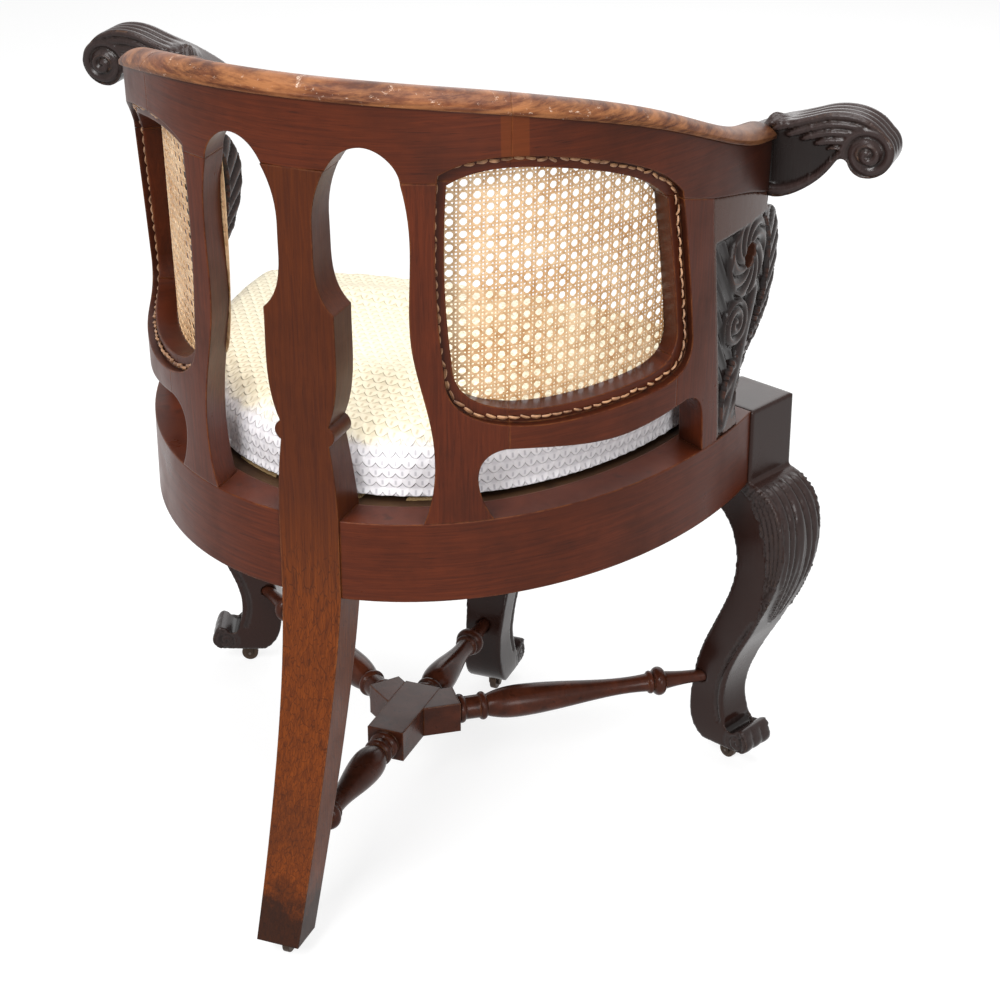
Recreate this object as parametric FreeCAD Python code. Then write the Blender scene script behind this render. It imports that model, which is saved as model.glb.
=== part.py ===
import FreeCAD, Part
import math
import os
from FreeCAD import Placement, Rotation, Vector

os.makedirs("parts", exist_ok=True)

# The chair faces -Y and stands on the floor at Z = 0. All sizes are millimetres, angles degrees.
# Places round the back are given as an angle from the rear (0) to the widest line of the seat (90).

# Seat plan
widest_y = -183.7
seat_half_width = 300.0
seat_depth_behind = 398.0
front_bow_reach = 82.0
front_bow_rise = 44.0
front_chord_inset = 15.0

# Seat rails
rail_top = 418.0
rail_height = 77.0
rail_thick = 46.0
ledge_width = 37.0
front_rail_thick = 36.0
front_ledge_width = 26.0
rebate_depth = 20.0

# Back frame
back_flare = 9.0
back_rise = 350.0
back_thick = 32.0
arm_end_behind = 30.0
crest_split_angle = 33.5
cap_height = 14.0
cap_edge = 4.0
cap_overhang = 3.5
crest_line = ((0.0, 387.0), (25.0, 379.0), (45.0, 357.0), (60.0, 328.0), (75.0, 290.0), (92.0, 262.0))
crest_under = ((0.0, 316.0), (24.0, 316.0), (45.0, 297.0), (65.0, 258.0), (75.0, 242.0), (92.0, 218.0))

# Cane frames: joints, rebates and sheet
panel_joint_rear = 33.4
panel_joint_front = 63.0
cane_middle = (43.5, 208.0)
cane_top = ((24.6, 312.0), (28.0, 320.0), (34.0, 323.0), (42.0, 316.0), (52.0, 298.0), (57.0, 282.0),
            (60.3, 264.0))
cane_front = ((60.3, 264.0), (62.2, 200.0), (63.8, 130.0))
cane_low = ((63.8, 130.0), (62.6, 108.0), (57.0, 98.0), (46.0, 96.0), (34.0, 102.0), (27.6, 118.0),
            (25.2, 150.0))
cane_rear = ((25.2, 150.0), (24.2, 230.0), (24.6, 312.0))
cane_thick = 1.5
cane_margin = 1.06
cane_seat_gap = 0.25
lacing_margin = 1.11
lacing_depth = 9.0
cane_hole_across = 8.0
cane_hole_pitch = 15.0
cane_hole_margin = 13.0

# Rear post
post_half = 29.0
post_depth = 44.0
splat_depth = 36.0
post_joint_up = 326.0
neck_half = 16.0
neck_flare = 13.0
neck_up = 255.0
neck_rise = 15.0
shoulder_half = 33.0
shoulder_up = 197.0
ear_up = 82.0
ear_radius = 9.0
ear_waist = 23.0
rear_kick = 97.0
rear_kick_power = 1.45
rear_foot_depth = 36.0
rear_foot_half = 21.0

# Cabriole legs, measured outwards from the middle of the block
block_half = 32.5
block_turn = 21.5
side_block_inset = 17.0
side_block_ahead = 6.5
front_block_reach = 84.0
knee_out = 76.0
knee_below_rail = 60.0
knee_thick = 58.0
ankle_out = 2.0
ankle_thick = 42.0
ankle_half = 20.0
ankle_up = 83.0
toe_out = 37.0
toe_up = 35.0
heel_in = 22.0
foot_half = 21.5
ear_reach = 34.0
ear_drop = 28.0
ear_thick = 24.0

# Crossed stretcher
stretcher_up = 96.0
hub_behind = 188.0
hub_half = 19.0
hub_rear = 58.0
hub_front = 38.0
side_block_reach = 50.0
side_block_half = 17.0
hub_height = 32.0
bulb_radius = 17.0
spindle_end_radius = 9.5
knop_radius = 15.0
spigot_radius = 6.5
spigot_depth = 14.0

# Arm supports and scroll hands
support_angle = 78.0
support_top_rear = -54.0
support_top_front = 57.0
support_bulge = 106.0
support_bulge_up = 156.0
support_foot_rear = -28.0
support_foot_front = 17.0
support_hole_radius = 12.0
support_hole_along = 22.0
support_hole_up = 170.0
hand_depth = 38.0
hand_inset = 28.0
hand_reach = 98.0
hand_belly = 9.0
hand_crown = 42.0
volute_up = 268.0
volute_radius = 26.0
volute_eye_radius = 12.0
volute_eye_proud = 3.0

# Drop-in seat
seat_gap = 0.6
seat_hole_share = 0.8
web_plan_share = 0.92
web_width = 50.0
web_thick = 1.5
cushion_gap = 0.3
cushion_post_gap = 3.0
cushion_front_inset = 27.0
cushion_crown = 70.0
cushion_side = 48.0

# Casters
caster_height = 23.0
wheel_radius = 9.0
wheel_width = 7.0
wheel_gap = 0.5
fork_thick = 2.0
axle_radius = 1.5
swivel_gap = 0.3
plate_radius = 14.0
plate_thick = 2.1
stem_radius = 2.5
stem_length = 18.0
caster_trail = 6.0
running_clearance = 0.05
screw_radius = 1.4
screw_length = 12.0
screw_circle = 9.5
screws_per_plate = 3

# Woodwork joints
tenon_thick = 10.0
tenon_long = 22.0
fit = 0.2

rail_bottom = rail_top - rail_height
front_chord_half = seat_half_width - front_chord_inset
side_block_x = seat_half_width - side_block_inset
hand_inner = seat_half_width - hand_inset
volute_x = seat_half_width + hand_reach
cushion_half_width = seat_half_width - ledge_width
cushion_behind = seat_depth_behind - post_depth - cushion_post_gap
seat_frame_thick = rebate_depth - 2 * web_thick
far = 2000.0


def box(x0, x1, y0, y1, z0, z1):
    """A block between two corners."""
    return Part.makeBox(x1 - x0, y1 - y0, z1 - z0, Vector(x0, y0, z0))


def mirrored(shape):
    """The same piece on the other side of the chair."""
    return shape.mirror(Vector(0, 0, 0), Vector(1, 0, 0))


def line_height(points, angle):
    """Height above the seat rail of a line round the back, a smooth curve through its points."""
    angle = abs(angle)
    last = len(points) - 2
    index = last
    for number in range(last + 1):
        if angle <= points[number + 1][0]:
            index = number
            break
    (a0, h0), (a1, h1) = points[index], points[index + 1]
    before = points[max(index - 1, 0)]
    after = points[min(index + 2, len(points) - 1)]
    slope0 = (h1 - before[1]) / (a1 - before[0]) if index > 0 else 0.0
    slope1 = (after[1] - h0) / (after[0] - a0)
    share = (angle - a0) / (a1 - a0)
    span = a1 - a0
    return (h0 * (1 + 2 * share) * (1 - share) ** 2 + slope0 * span * share * (1 - share) ** 2
            + h1 * share ** 2 * (3 - 2 * share) + slope1 * span * share ** 2 * (share - 1))


def radii(up, inset):
    """Half width and depth of the oval back at a height above the seat rail."""
    lean = back_flare * max(up, 0.0) / back_rise
    return seat_half_width + lean - inset, seat_depth_behind + lean - inset


def oval(angle, up, inset=0.0):
    """A point on the oval back, inset from its outer face."""
    across, behind = radii(up, inset)
    turn = math.radians(angle)
    return Vector(across * math.sin(turn), widest_y + behind * math.cos(turn), rail_top + up)


def oval_edge(up, inset, start, end):
    """An arc of the oval from one angle to another."""
    across, behind = radii(up, inset)
    middle = Vector(0, widest_y, rail_top + up)
    rear = middle + Vector(0, behind, 0)
    side = middle + Vector(across, 0, 0)
    first, last = math.radians(start), math.radians(end)
    if behind >= across:
        return Part.ArcOfEllipse(Part.Ellipse(rear, side, middle), first, last).toShape()
    quarter = math.pi / 2
    return Part.ArcOfEllipse(Part.Ellipse(side, rear, middle), quarter - last, quarter - first).toShape()


def ring_wire(up, outer, inner, start, end):
    """Plan outline of a stretch of curved rail."""
    edges = [oval_edge(up, outer, start, end)]
    edges.append(Part.makeLine(oval(end, up, outer), oval(end, up, inner)))
    edges.append(oval_edge(up, inner, start, end))
    edges.append(Part.makeLine(oval(start, up, inner), oval(start, up, outer)))
    return Part.Wire(Part.__sortEdges__(edges))


def back_shell(low, high, outer, inner, start, end):
    """A stretch of the leaning back between two heights above the seat rail."""
    wires = [ring_wire(low, outer, inner, start, end), ring_wire(high, outer, inner, start, end)]
    return Part.makeLoft(wires, True, True)


def facing(angle):
    """Outward and forward directions of the oval at an angle."""
    across, behind = radii(0.0, 0.0)
    turn = math.radians(angle)
    outward = Vector(math.sin(turn) / across, math.cos(turn) / behind, 0).normalize()
    return outward, Vector(outward.y, -outward.x, 0)


def curve_through(points):
    """A line through two points, an arc through three or one smooth curve through more."""
    if len(points) == 2:
        return Part.makeLine(points[0], points[1])
    if len(points) == 3:
        return Part.Arc(points[0], points[1], points[2]).toShape()
    spline = Part.BSplineCurve()
    spline.interpolate(points)
    return spline.toShape()


def face_of(runs):
    """A face bounded by runs of points, each run one line or curve."""
    return Part.Face(Part.Wire([curve_through(run) for run in runs]))


def through_back(runs, middle_angle):
    """A cutter through the back whose outline on the outer face follows (angle, height) points."""
    outward, forward = facing(middle_angle)
    origin = Vector(0, widest_y, 0)
    flat_runs = []
    for run in runs:
        flat = []
        for angle, up in run:
            point = oval(angle, up)
            along = (point - origin).dot(forward)
            flat.append(origin + forward * along + Vector(0, 0, rail_top + up))
        flat_runs.append(flat)
    return face_of(flat_runs).extrude(outward * far)


def local_block(angle, up, inset, along, thick, low, high):
    """A block set square to the back at an angle, such as a tenon."""
    outward, forward = facing(angle)
    middle = oval(angle, up, inset)
    block = box(-along / 2, along / 2, -thick / 2, thick / 2, low, high)
    turn = math.degrees(math.atan2(forward.y, forward.x))
    block.Placement = Placement(Vector(middle.x, middle.y, rail_top), Rotation(Vector(0, 0, 1), turn))
    return block


def edge_run(points, scale=1.0):
    """An outline in (angle, height), grown about the middle of the cane frame."""
    middle_angle, middle_up = cane_middle
    return [((angle - middle_angle) * scale + middle_angle, (up - middle_up) * scale + middle_up)
            for angle, up in points]


def cane_opening(scale=1.0):
    """The opening that the cane fills, square at the top and round at the bottom."""
    runs = [edge_run(run, scale) for run in (cane_top, cane_front, cane_low, cane_rear)]
    return through_back(runs, cane_middle[0])


def angle_at(across, up):
    """The angle round the back at a distance from the chair's middle line."""
    return math.degrees(math.asin(across / radii(up, 0.0)[0]))


def flank_opening():
    """The tall opening between the rear post and the inner stile."""
    half = angle_at(post_half, 0.0)
    neck = angle_at(neck_half, neck_up + neck_rise)
    bend = angle_at(neck_half + 1.0, neck_up + neck_rise + 20.0)
    joint = angle_at(neck_half + neck_flare, post_joint_up)
    top = [(neck, neck_up + neck_rise), (bend, neck_up + neck_rise + 20.0), (joint, post_joint_up),
           (7.8, 342.0), (11.4, 348.0), (14.6, 340.0), (17.0, 316.0)]
    side = [(17.0, 316.0), (18.2, 270.0), (18.2, 170.0), (21.0, 95.0), (21.6, 55.0), (19.6, -1.0)]
    foot = [(19.6, -1.0), (half, -1.0)]
    post = [(half, -1.0), (neck, neck_up + neck_rise)]
    return through_back([top, side, foot, post], 0.0)


def low_opening():
    """The low opening under the cane frame."""
    rear = [(31.2, -1.0), (28.7, 30.0), (29.0, 55.0), (33.0, 67.0)]
    top = [(33.0, 67.0), (42.0, 60.0), (52.0, 54.0), (60.0, 58.0), (65.5, 63.0)]
    front = [(65.5, 63.0), (68.6, 52.0), (69.6, 25.0), (70.0, -1.0)]
    foot = [(70.0, -1.0), (31.2, -1.0)]
    return through_back([rear, top, front, foot], 50.0)


def ahead_of_stile(gap=0.0):
    """Everything ahead of the outer stile's front edge, less a gap."""
    slip = math.degrees(gap / seat_depth_behind)
    edge = [(69.2 + slip, 360.0), (69.4 + slip, 235.0), (71.0 + slip, 150.0), (74.0 + slip, -40.0)]
    return through_back([edge, [(74.0 + slip, -40.0), (104.0, -40.0)],
                         [(104.0, -40.0), (104.0, 360.0)], [(104.0, 360.0), (69.2 + slip, 360.0)]], 72.0)


def crest_angles():
    """The angles at which the crest's sections stand."""
    half = (10.0, 20.0, 30.0, 40.0, 50.0, 60.0, 70.0, 80.0, 91.0)
    return [-angle for angle in reversed(half)] + [0.0] + list(half)


def arm_cut():
    """The space in front of the arms' ends."""
    return box(-far, far, -far, widest_y + arm_end_behind, 0, far)


def crest_block(drop=0.0, grow=0.0, rise=0.0):
    """The whole curved rail of crest and arms, or a larger one to cut its neighbours clear of it."""
    wires = []
    for angle in crest_angles():
        high = line_height(crest_line, angle) + rise
        low = line_height(crest_under, angle) - drop
        corners = [oval(angle, low, -grow), oval(angle, high, -grow),
                   oval(angle, high, back_thick + grow), oval(angle, low, back_thick + grow)]
        wires.append(Part.makePolygon(corners + corners[:1]))
    return Part.makeLoft(wires, True, False)


def cap_block():
    """The rounded moulding that runs along the top of crest and arms."""
    wires = []
    for angle in crest_angles():
        low = line_height(crest_line, angle)
        outer, inner = -cap_overhang, back_thick + cap_overhang
        corners = [oval(angle, low - 2.0, inner), oval(angle, low - 2.0, outer),
                   oval(angle, low + cap_edge, outer), oval(angle, low + cap_edge, inner)]
        top = oval(angle, low + cap_height, back_thick / 2)
        edges = [Part.makeLine(corners[0], corners[1]), Part.makeLine(corners[1], corners[2]),
                 Part.Arc(corners[2], top, corners[3]).toShape(), Part.makeLine(corners[3], corners[0])]
        wires.append(Part.Wire(edges))
    return Part.makeLoft(wires, True, False).cut([arm_cut(), crest_block(0.0, 2 * cap_overhang, fit)])


def wedge(start, end):
    """A standing wedge of space between two angles round the back."""
    middle = Vector(0, widest_y, 0)
    corners = [middle]
    for step in range(5):
        point = oval(start + (end - start) * step / 4, 0.0)
        corners.append(middle + Vector(point.x, point.y - widest_y, 0).normalize() * far)
    return Part.Face(Part.makePolygon(corners + corners[:1])).extrude(Vector(0, 0, far))


def stile_tenons(grow=0.0):
    """Tenons of one side's stiles and arm support, top and bottom, grown for their mortises."""
    places = ((26.0, 0.0, 28.0), (72.0, 0.0, 16.0), (76.5, 0.0, 24.0))
    tops = ((20.6, 16.0), (66.6, 20.0), (support_angle, 40.0))
    inset = back_thick / 2
    tenons = []
    for angle, up, along in places:
        tenons.append(local_block(angle, up, inset, along + 2 * grow, tenon_thick + 2 * grow,
                                  -tenon_long - grow, tenon_long if not grow else grow))
    for angle, along in tops:
        up = line_height(crest_under, angle)
        tenons.append(local_block(angle, up, inset, along + 2 * grow, tenon_thick + 2 * grow,
                                  up - tenon_long if not grow else up - tenon_long - grow,
                                  up + tenon_long + grow))
    return tenons


def panel_tenon(angle, direction, grow=0.0):
    """The tenon at one end of a panel rail."""
    length = 14.0 + grow
    shape = local_block(angle, 78.0, back_thick / 2, 2 * length, 8.0 + 2 * grow, 72.0 - grow, 86.0 + grow)
    return shape.common(wedge(angle - 20.0, angle) if direction < 0 else wedge(angle, angle + 20.0))


def web_side():
    """One side's stiles and panel rail as one shell, before it is cut at the joints."""
    web = back_shell(0.0, 345.0, 0.0, back_thick, 9.0, 82.0)
    web = web.cut([flank_opening(), cane_opening(), low_opening(), ahead_of_stile()])
    web = web.cut(crest_block(fit, 1.0))
    return web.cut(cane_rebates())


def cane_rebates():
    """Hollows round the cane opening: one for the lacing outside, one for the sheet inside."""
    lacing = cane_opening(lacing_margin).common(back_shell(-5.0, 345.0, -40.0, lacing_depth, 5.0, 85.0))
    inner = back_thick - cane_thick - cane_seat_gap
    sheet = cane_opening(cane_margin + 0.006)
    sheet = sheet.common(back_shell(-5.0, 345.0, inner, back_thick + 30.0, 5.0, 85.0))
    return [lacing, sheet]


def biggest(shape):
    """The largest solid of a shape."""
    return max(shape.Solids, key=lambda solid: solid.Volume)


def inner_stile(web):
    """The stile beside the rear opening, with its foot on the seat rail."""
    part = biggest(web.common(wedge(9.0, panel_joint_rear)))
    tenons = stile_tenons()
    return part.fuse([tenons[0], tenons[3]]).removeSplitter().cut(panel_tenon(panel_joint_rear, -1, fit))


def outer_stile(web):
    """The stile behind the arm support."""
    above_rail = box(-far, far, -far, far, rail_top + cane_front[-1][1], far)
    space = wedge(panel_joint_front, 90.0).fuse(wedge(cane_middle[0], panel_joint_front).common(above_rail))
    part = biggest(web.common(space.removeSplitter()))
    tenons = stile_tenons()
    return part.fuse([tenons[1], tenons[4]]).removeSplitter().cut(panel_tenon(panel_joint_front, 1, fit))


def panel_rail(web):
    """The curved rail under the cane, tenoned into both stiles."""
    part = biggest(web.common(wedge(panel_joint_rear, panel_joint_front)))
    return part.fuse([panel_tenon(panel_joint_rear, -1), panel_tenon(panel_joint_front, 1)])


def cane_panel():
    """The woven cane as one holed sheet, seated in the inner rebate."""
    sheet = cane_opening(cane_margin)
    sheet = sheet.common(back_shell(40.0, 345.0, back_thick - cane_thick, back_thick - 0.05, 5.0, 85.0))
    holes = []
    degree = math.radians(1.0) * seat_half_width * 1.16
    step = cane_hole_pitch / degree
    for column in range(40):
        angle = 26.2 + step * (column + 0.5)
        for row in range(40):
            up = 104.0 + cane_hole_pitch * (row + 0.5)
            if not hole_fits(angle, up):
                continue
            start = oval(angle, up, back_thick + 3.0)
            holes.append(Part.makeCylinder(cane_hole_across / 2, 8.0, start, facing(angle)[0]))
    return sheet.cut(holes)


def hole_fits(angle, up):
    """Whether a hole of the cane lies inside the opening."""
    top = line_height(cane_top, angle) - cane_hole_margin
    low = line_height(tuple(reversed(cane_low)), angle) + cane_hole_margin
    (front_angle, front_up), (toe_angle, toe_height) = cane_front[0], cane_front[-1]
    front = front_angle + (front_up - up) * (toe_angle - front_angle) / (front_up - toe_height)
    return cane_rear[-1][0] + 1.0 < angle < front - 0.7 and low < up < top


def crest_parts():
    """Crest rail and arm rails, cut from one curved rail, with mortises for what they hold."""
    whole = crest_block()
    cutters = []
    for shape in [flank_opening(), cane_opening()] + cane_rebates() + stile_tenons(fit)[3:]:
        cutters += [shape, mirrored(shape)]
    post_top = box(-2 * neck_half, 2 * neck_half, 0, far, 0, rail_top + post_joint_up)
    whole = whole.cut(cutters + [post_tenon(fit), post_top, arm_cut()])
    left_space = wedge(crest_split_angle, 95.0)
    pin = crest_pin()
    pin = pin.common(left_space.fuse(wedge(20.0, crest_split_angle)))
    left = biggest(whole.common(left_space)).fuse(pin)
    bore = crest_pin(fit)
    crest = biggest(whole.common(wedge(-crest_split_angle, crest_split_angle))).cut([bore, mirrored(bore)])
    left = left.removeSplitter()
    return crest, left, mirrored(left)


def crest_pin(grow=0.0):
    """The tenon that joins an arm rail to the crest."""
    up = (line_height(crest_line, crest_split_angle) + 323.0) / 2
    block = local_block(crest_split_angle, up, back_thick / 2, 2 * (tenon_long + grow),
                        tenon_thick + 2 * grow, up - 12.0 - grow, up + 12.0 + grow)
    return block if grow else block.common(wedge(20.0, 45.0))


def cap_parts():
    """The cap moulding in three lengths."""
    whole = cap_block()
    back = biggest(whole.common(wedge(-crest_split_angle, crest_split_angle)))
    left = biggest(whole.common(wedge(crest_split_angle, 95.0)))
    return back, left, mirrored(left)


def post_tenon(grow=0.0):
    """The tenon on top of the rear post."""
    middle = oval(0.0, post_joint_up, back_thick / 2).y
    joint = rail_top + post_joint_up
    low = joint - (tenon_long if grow else 1.0)
    return box(-15.0 - grow, 15.0 + grow, middle - tenon_thick / 2 - grow, middle + tenon_thick / 2 + grow,
               low, joint + tenon_long + grow)


def rear_line(up):
    """Distance of the rear post's back face behind the widest line, by height above the floor."""
    if up >= rail_bottom:
        return radii(up - rail_top, 0.0)[1]
    share = (rail_bottom - up) / (rail_bottom - caster_height)
    return seat_depth_behind + rear_kick * share ** rear_kick_power


def post_outline():
    """Half of the rear post's outline from behind: leg, seat block, waist, ear, shoulder and neck."""
    def at(x, up):
        return Vector(x, -far / 2, up)
    top = rail_top + post_joint_up
    neck_top = rail_top + neck_up + neck_rise
    ear_low, ear_high = rail_top + ear_up - ear_radius, rail_top + ear_up + ear_radius
    shoulder = rail_top + shoulder_up
    wide = neck_half + neck_flare + 1.0
    return [
        [at(rear_foot_half, caster_height), at((rear_foot_half + post_half) / 2 - 1.0, rail_bottom / 2),
         at(post_half, rail_bottom)],
        [at(post_half, rail_bottom), at(post_half, rail_top)],
        [at(post_half, rail_top), at(ear_waist + 2.0, rail_top + ear_up - 24.0), at(ear_waist, ear_low)],
        [at(ear_waist, ear_low), at(ear_waist + ear_radius * 0.6, rail_top + ear_up), at(ear_waist, ear_high)],
        [at(ear_waist, ear_high), at(shoulder_half - 3.0, ear_high + 23.0),
         at(shoulder_half, shoulder - 25.0), at(shoulder_half, shoulder)],
        [at(shoulder_half, shoulder), at(neck_half + 5.0, shoulder + 17.0), at(neck_half, rail_top + neck_up),
         at(neck_half, neck_top)],
        [at(neck_half, neck_top), at(wide, neck_top)],
        [at(wide, neck_top), at(wide, top)]]


def rear_post():
    """Rear leg, seat block and splat in one piece, sawn to shape from the back and from the side."""
    right = post_outline()
    left = [[Vector(-p.x, p.y, p.z) for p in reversed(run)] for run in reversed(right)]
    foot = [left[-1][-1], right[0][0]]
    top = [right[-1][-1], left[0][0]]
    post = face_of([foot] + right + [top] + left).extrude(Vector(0, 2 * far, 0)).common(rear_side())
    neck_space = box(-far, far, -far, far, rail_top + neck_up + neck_rise, far)
    flank = flank_opening().common(neck_space)
    post = post.cut([flank, mirrored(flank)]).fuse(post_tenon())
    tenon = rear_rail_tenon(fit)
    mortises = [tenon, mirrored(tenon), stretcher_bore(180.0)] + caster_bores("rear")
    return post.cut(mortises).removeSplitter()


def rear_side():
    """The rear post as seen from the side, as wide as needed."""
    def at(behind, up):
        return Vector(-far / 2, widest_y + behind, up)
    shares = (0.0, 0.25, 0.5, 0.75, 1.0)
    levels = [caster_height + (rail_bottom - caster_height) * share for share in shares]
    back = [at(rear_line(up), up) for up in levels]
    top = rail_top + post_joint_up
    fronts = []
    for up, share in zip(levels, shares):
        depth = rear_foot_depth + (post_depth - rear_foot_depth) * share
        fronts.append(at(rear_line(up) - depth, up))
    straight = at(seat_depth_behind - post_depth, rail_top)
    splat = [straight, at(rear_line(rail_top + ear_up) - splat_depth, rail_top + ear_up),
             at(rear_line(rail_top + shoulder_up) - splat_depth, rail_top + shoulder_up),
             at(rear_line(top) - back_thick, top)]
    runs = [back, [back[-1], at(seat_depth_behind, rail_top)],
            [at(seat_depth_behind, rail_top), at(rear_line(top), top)], [at(rear_line(top), top), splat[-1]],
            list(reversed(splat)), [straight, fronts[-1]], list(reversed(fronts)), [fronts[0], back[0]]]
    return face_of(runs).extrude(Vector(2 * far, 0, 0))


def rear_rail_tenon(grow=0.0):
    """The tenon by which a back rail enters the rear post."""
    middle = widest_y + seat_depth_behind - rail_thick / 2
    return box(post_half - 16.0 - grow, post_half + 20.0, middle - 6.0 - grow, middle + 6.0 + grow,
               rail_bottom + 14.0 - grow, rail_top - rebate_depth - 6.0 + grow)


def leg_place(name):
    """Where a leg's block stands and which way the leg faces."""
    if name == "front":
        place = Vector(0, widest_y - front_block_reach + block_half, 0)
        return Placement(place, Rotation(Vector(0, 0, 1), -90))
    place = Vector(side_block_x, widest_y - side_block_ahead, 0)
    return Placement(place, Rotation(Vector(0, 0, 1), block_turn))


def leg_block(name, grow=0.0):
    """The square block at the top of a leg."""
    half = block_half + grow
    block = box(-half, half, -half, half, rail_bottom - grow, rail_top + grow)
    block.Placement = leg_place(name)
    return block


def leg_profile():
    """A cabriole leg from the side: knee out, ankle in, toe out."""
    def at(out, up):
        return Vector(out, -far / 2, up)
    knee = rail_bottom - knee_below_rail
    middle = (knee + ankle_up) / 2
    outer = [at(block_half, rail_bottom), at((block_half + knee_out) / 2 + 8.0, rail_bottom - 16.0),
             at(knee_out, knee), at((knee_out + ankle_out) / 2 + 6.0, middle),
             at(ankle_out + 9.0, ankle_up + 34.0), at(ankle_out, ankle_up),
             at(ankle_out + 3.0, toe_up + 22.0)]
    toe = [outer[-1], at((ankle_out + toe_out) / 2 - 6.0, toe_up + 11.0), at(toe_out - 10.0, toe_up + 12.0),
           at(toe_out, toe_up), at(toe_out - 8.0, caster_height)]
    inner = [at(-heel_in, caster_height), at(ankle_out - ankle_thick + 4.0, toe_up + 3.0),
             at(ankle_out - ankle_thick, ankle_up - 6.0), at(ankle_out - ankle_thick + 9.0, ankle_up + 36.0),
             at((knee_out - knee_thick + ankle_out - ankle_thick) / 2 + 8.0, middle),
             at(knee_out - knee_thick, knee - 24.0), at(knee_out - knee_thick - 8.0, knee + 6.0),
             at(-block_half, rail_bottom - ear_drop)]
    wall = [inner[-1], at(-block_half, rail_bottom)]
    return face_of([outer, toe, [toe[-1], inner[0]], inner, wall, [wall[-1], outer[0]]])


def leg_front_view():
    """A cabriole leg from the front: wide at the knee, slim at the ankle."""
    def at(side, up):
        return Vector(-far / 2, side, up)
    knee = rail_bottom - knee_below_rail
    half = [at(block_half, rail_bottom), at(block_half - 1.5, knee),
            at((block_half + ankle_half) / 2, (knee + ankle_up) / 2), at(ankle_half, ankle_up)]
    foot = [half[-1], at((ankle_half + foot_half) / 2, toe_up + 22.0), at(foot_half, toe_up),
            at(foot_half - 1.0, caster_height)]
    right = [half, foot]
    left = [[Vector(p.x, -p.y, p.z) for p in reversed(run)] for run in reversed(right)]
    return face_of(right + [[foot[-1], left[0][0]]] + left + [[left[-1][-1], half[0]]])


def leg(name):
    """One cabriole leg with its block, mortises and bores."""
    lower = leg_profile().extrude(Vector(0, far, 0)).common(leg_front_view().extrude(Vector(far, 0, 0)))
    lower.Placement = leg_place(name)
    whole = lower.fuse(leg_block(name))
    cutters = caster_bores(name)
    if name == "front":
        tenon = front_tenon("front", fit)
        cutters += [tenon, mirrored(tenon), stretcher_bore(0.0)]
    else:
        cutters += [side_tenon(fit), front_tenon(name, fit), stretcher_bore(side_arm_angle())]
    return whole.cut(cutters).removeSplitter()


def side_tenon(grow=0.0):
    """The tenon by which a back rail enters a side leg's block."""
    tenon = box(4.0 - grow, 16.0 + grow, block_half - 24.0 - grow, block_half + 22.0,
                rail_bottom + 14.0 - grow, rail_top - rebate_depth - 6.0 + grow)
    tenon.Placement = leg_place("left")
    return tenon


def front_tenon(name, grow=0.0):
    """The tenon by which a front rail enters a leg's block."""
    low, high = rail_bottom + 14.0 - grow, rail_top - rebate_depth - 6.0 + grow
    inset = block_half - front_rail_thick / 2
    if name == "front":
        tenon = box(inset - 7.0 - grow, inset + 5.0 + grow, block_half - 20.0 - grow, block_half + 16.0,
                    low, high)
    else:
        tenon = box(-block_half - 16.0, -block_half + 20.0 + grow, -inset - 5.0 - grow, -inset + 7.0 + grow,
                    low, high)
    tenon.Placement = leg_place(name)
    return tenon


def back_rail():
    """One curved back rail with its ledge, mortises and tenons."""
    ring = Part.Face(ring_wire(-rail_height, 0.0, rail_thick, 0.0, 92.0)).extrude(Vector(0, 0, rail_height))
    step = Part.Face(ring_wire(-rebate_depth, ledge_width, rail_thick + 20.0, -5.0, 95.0))
    step = step.extrude(Vector(0, 0, rebate_depth + 1.0))
    rear_wall = box(-far, post_half, -far, far, 0, far)
    beyond = box(-far, far, -far, block_half, 0, far)
    beyond.Placement = leg_place("left")
    rail = biggest(ring.cut([step, rear_wall, beyond] + stile_tenons(fit)[:3]))
    return rail.fuse([rear_rail_tenon(), side_tenon()]).removeSplitter()


def bow_radius():
    """Radius of the bowed front, from its rise over its chord."""
    return (front_chord_half ** 2 + front_bow_rise ** 2) / (2 * front_bow_rise)


def bow_point(x, inset):
    """A point of the bowed front, inset from its outer face."""
    radius = bow_radius()
    middle = widest_y - front_bow_reach + radius
    return Vector(x, middle - math.sqrt((radius - inset) ** 2 - x ** 2), 0)


def bow_edge(x0, x1, inset, up):
    """An arc of the bowed front."""
    points = [bow_point(x, inset) + Vector(0, 0, up) for x in (x0, (x0 + x1) / 2, x1)]
    return Part.Arc(points[0], points[1], points[2]).toShape()


def bow_ring(outer, inner, low, high):
    """A stretch of bowed rail from the chair's middle to past its side leg."""
    reach = front_chord_half + 20.0
    rise = Vector(0, 0, low)
    edges = [bow_edge(0.0, reach, outer, low),
             Part.makeLine(bow_point(reach, outer) + rise, bow_point(reach, inner) + rise),
             bow_edge(reach, 0.0, inner, low),
             Part.makeLine(bow_point(0.0, inner) + rise, bow_point(0.0, outer) + rise)]
    return Part.Face(Part.Wire(edges)).extrude(Vector(0, 0, high - low))


def front_rail():
    """One bowed front rail with its ledge and tenons."""
    ring = bow_ring(0.0, front_rail_thick, rail_bottom, rail_top)
    step = bow_ring(front_ledge_width, front_rail_thick + 20.0, rail_top - rebate_depth, rail_top + 1.0)
    side_wall = box(-block_half, far, -far, far, 0, far)
    side_wall.Placement = leg_place("left")
    middle_wall = box(-far, block_half, -far, far, 0, far)
    rail = biggest(ring.cut([step, side_wall, middle_wall]))
    return rail.fuse([front_tenon("left"), front_tenon("front")]).removeSplitter()


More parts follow.
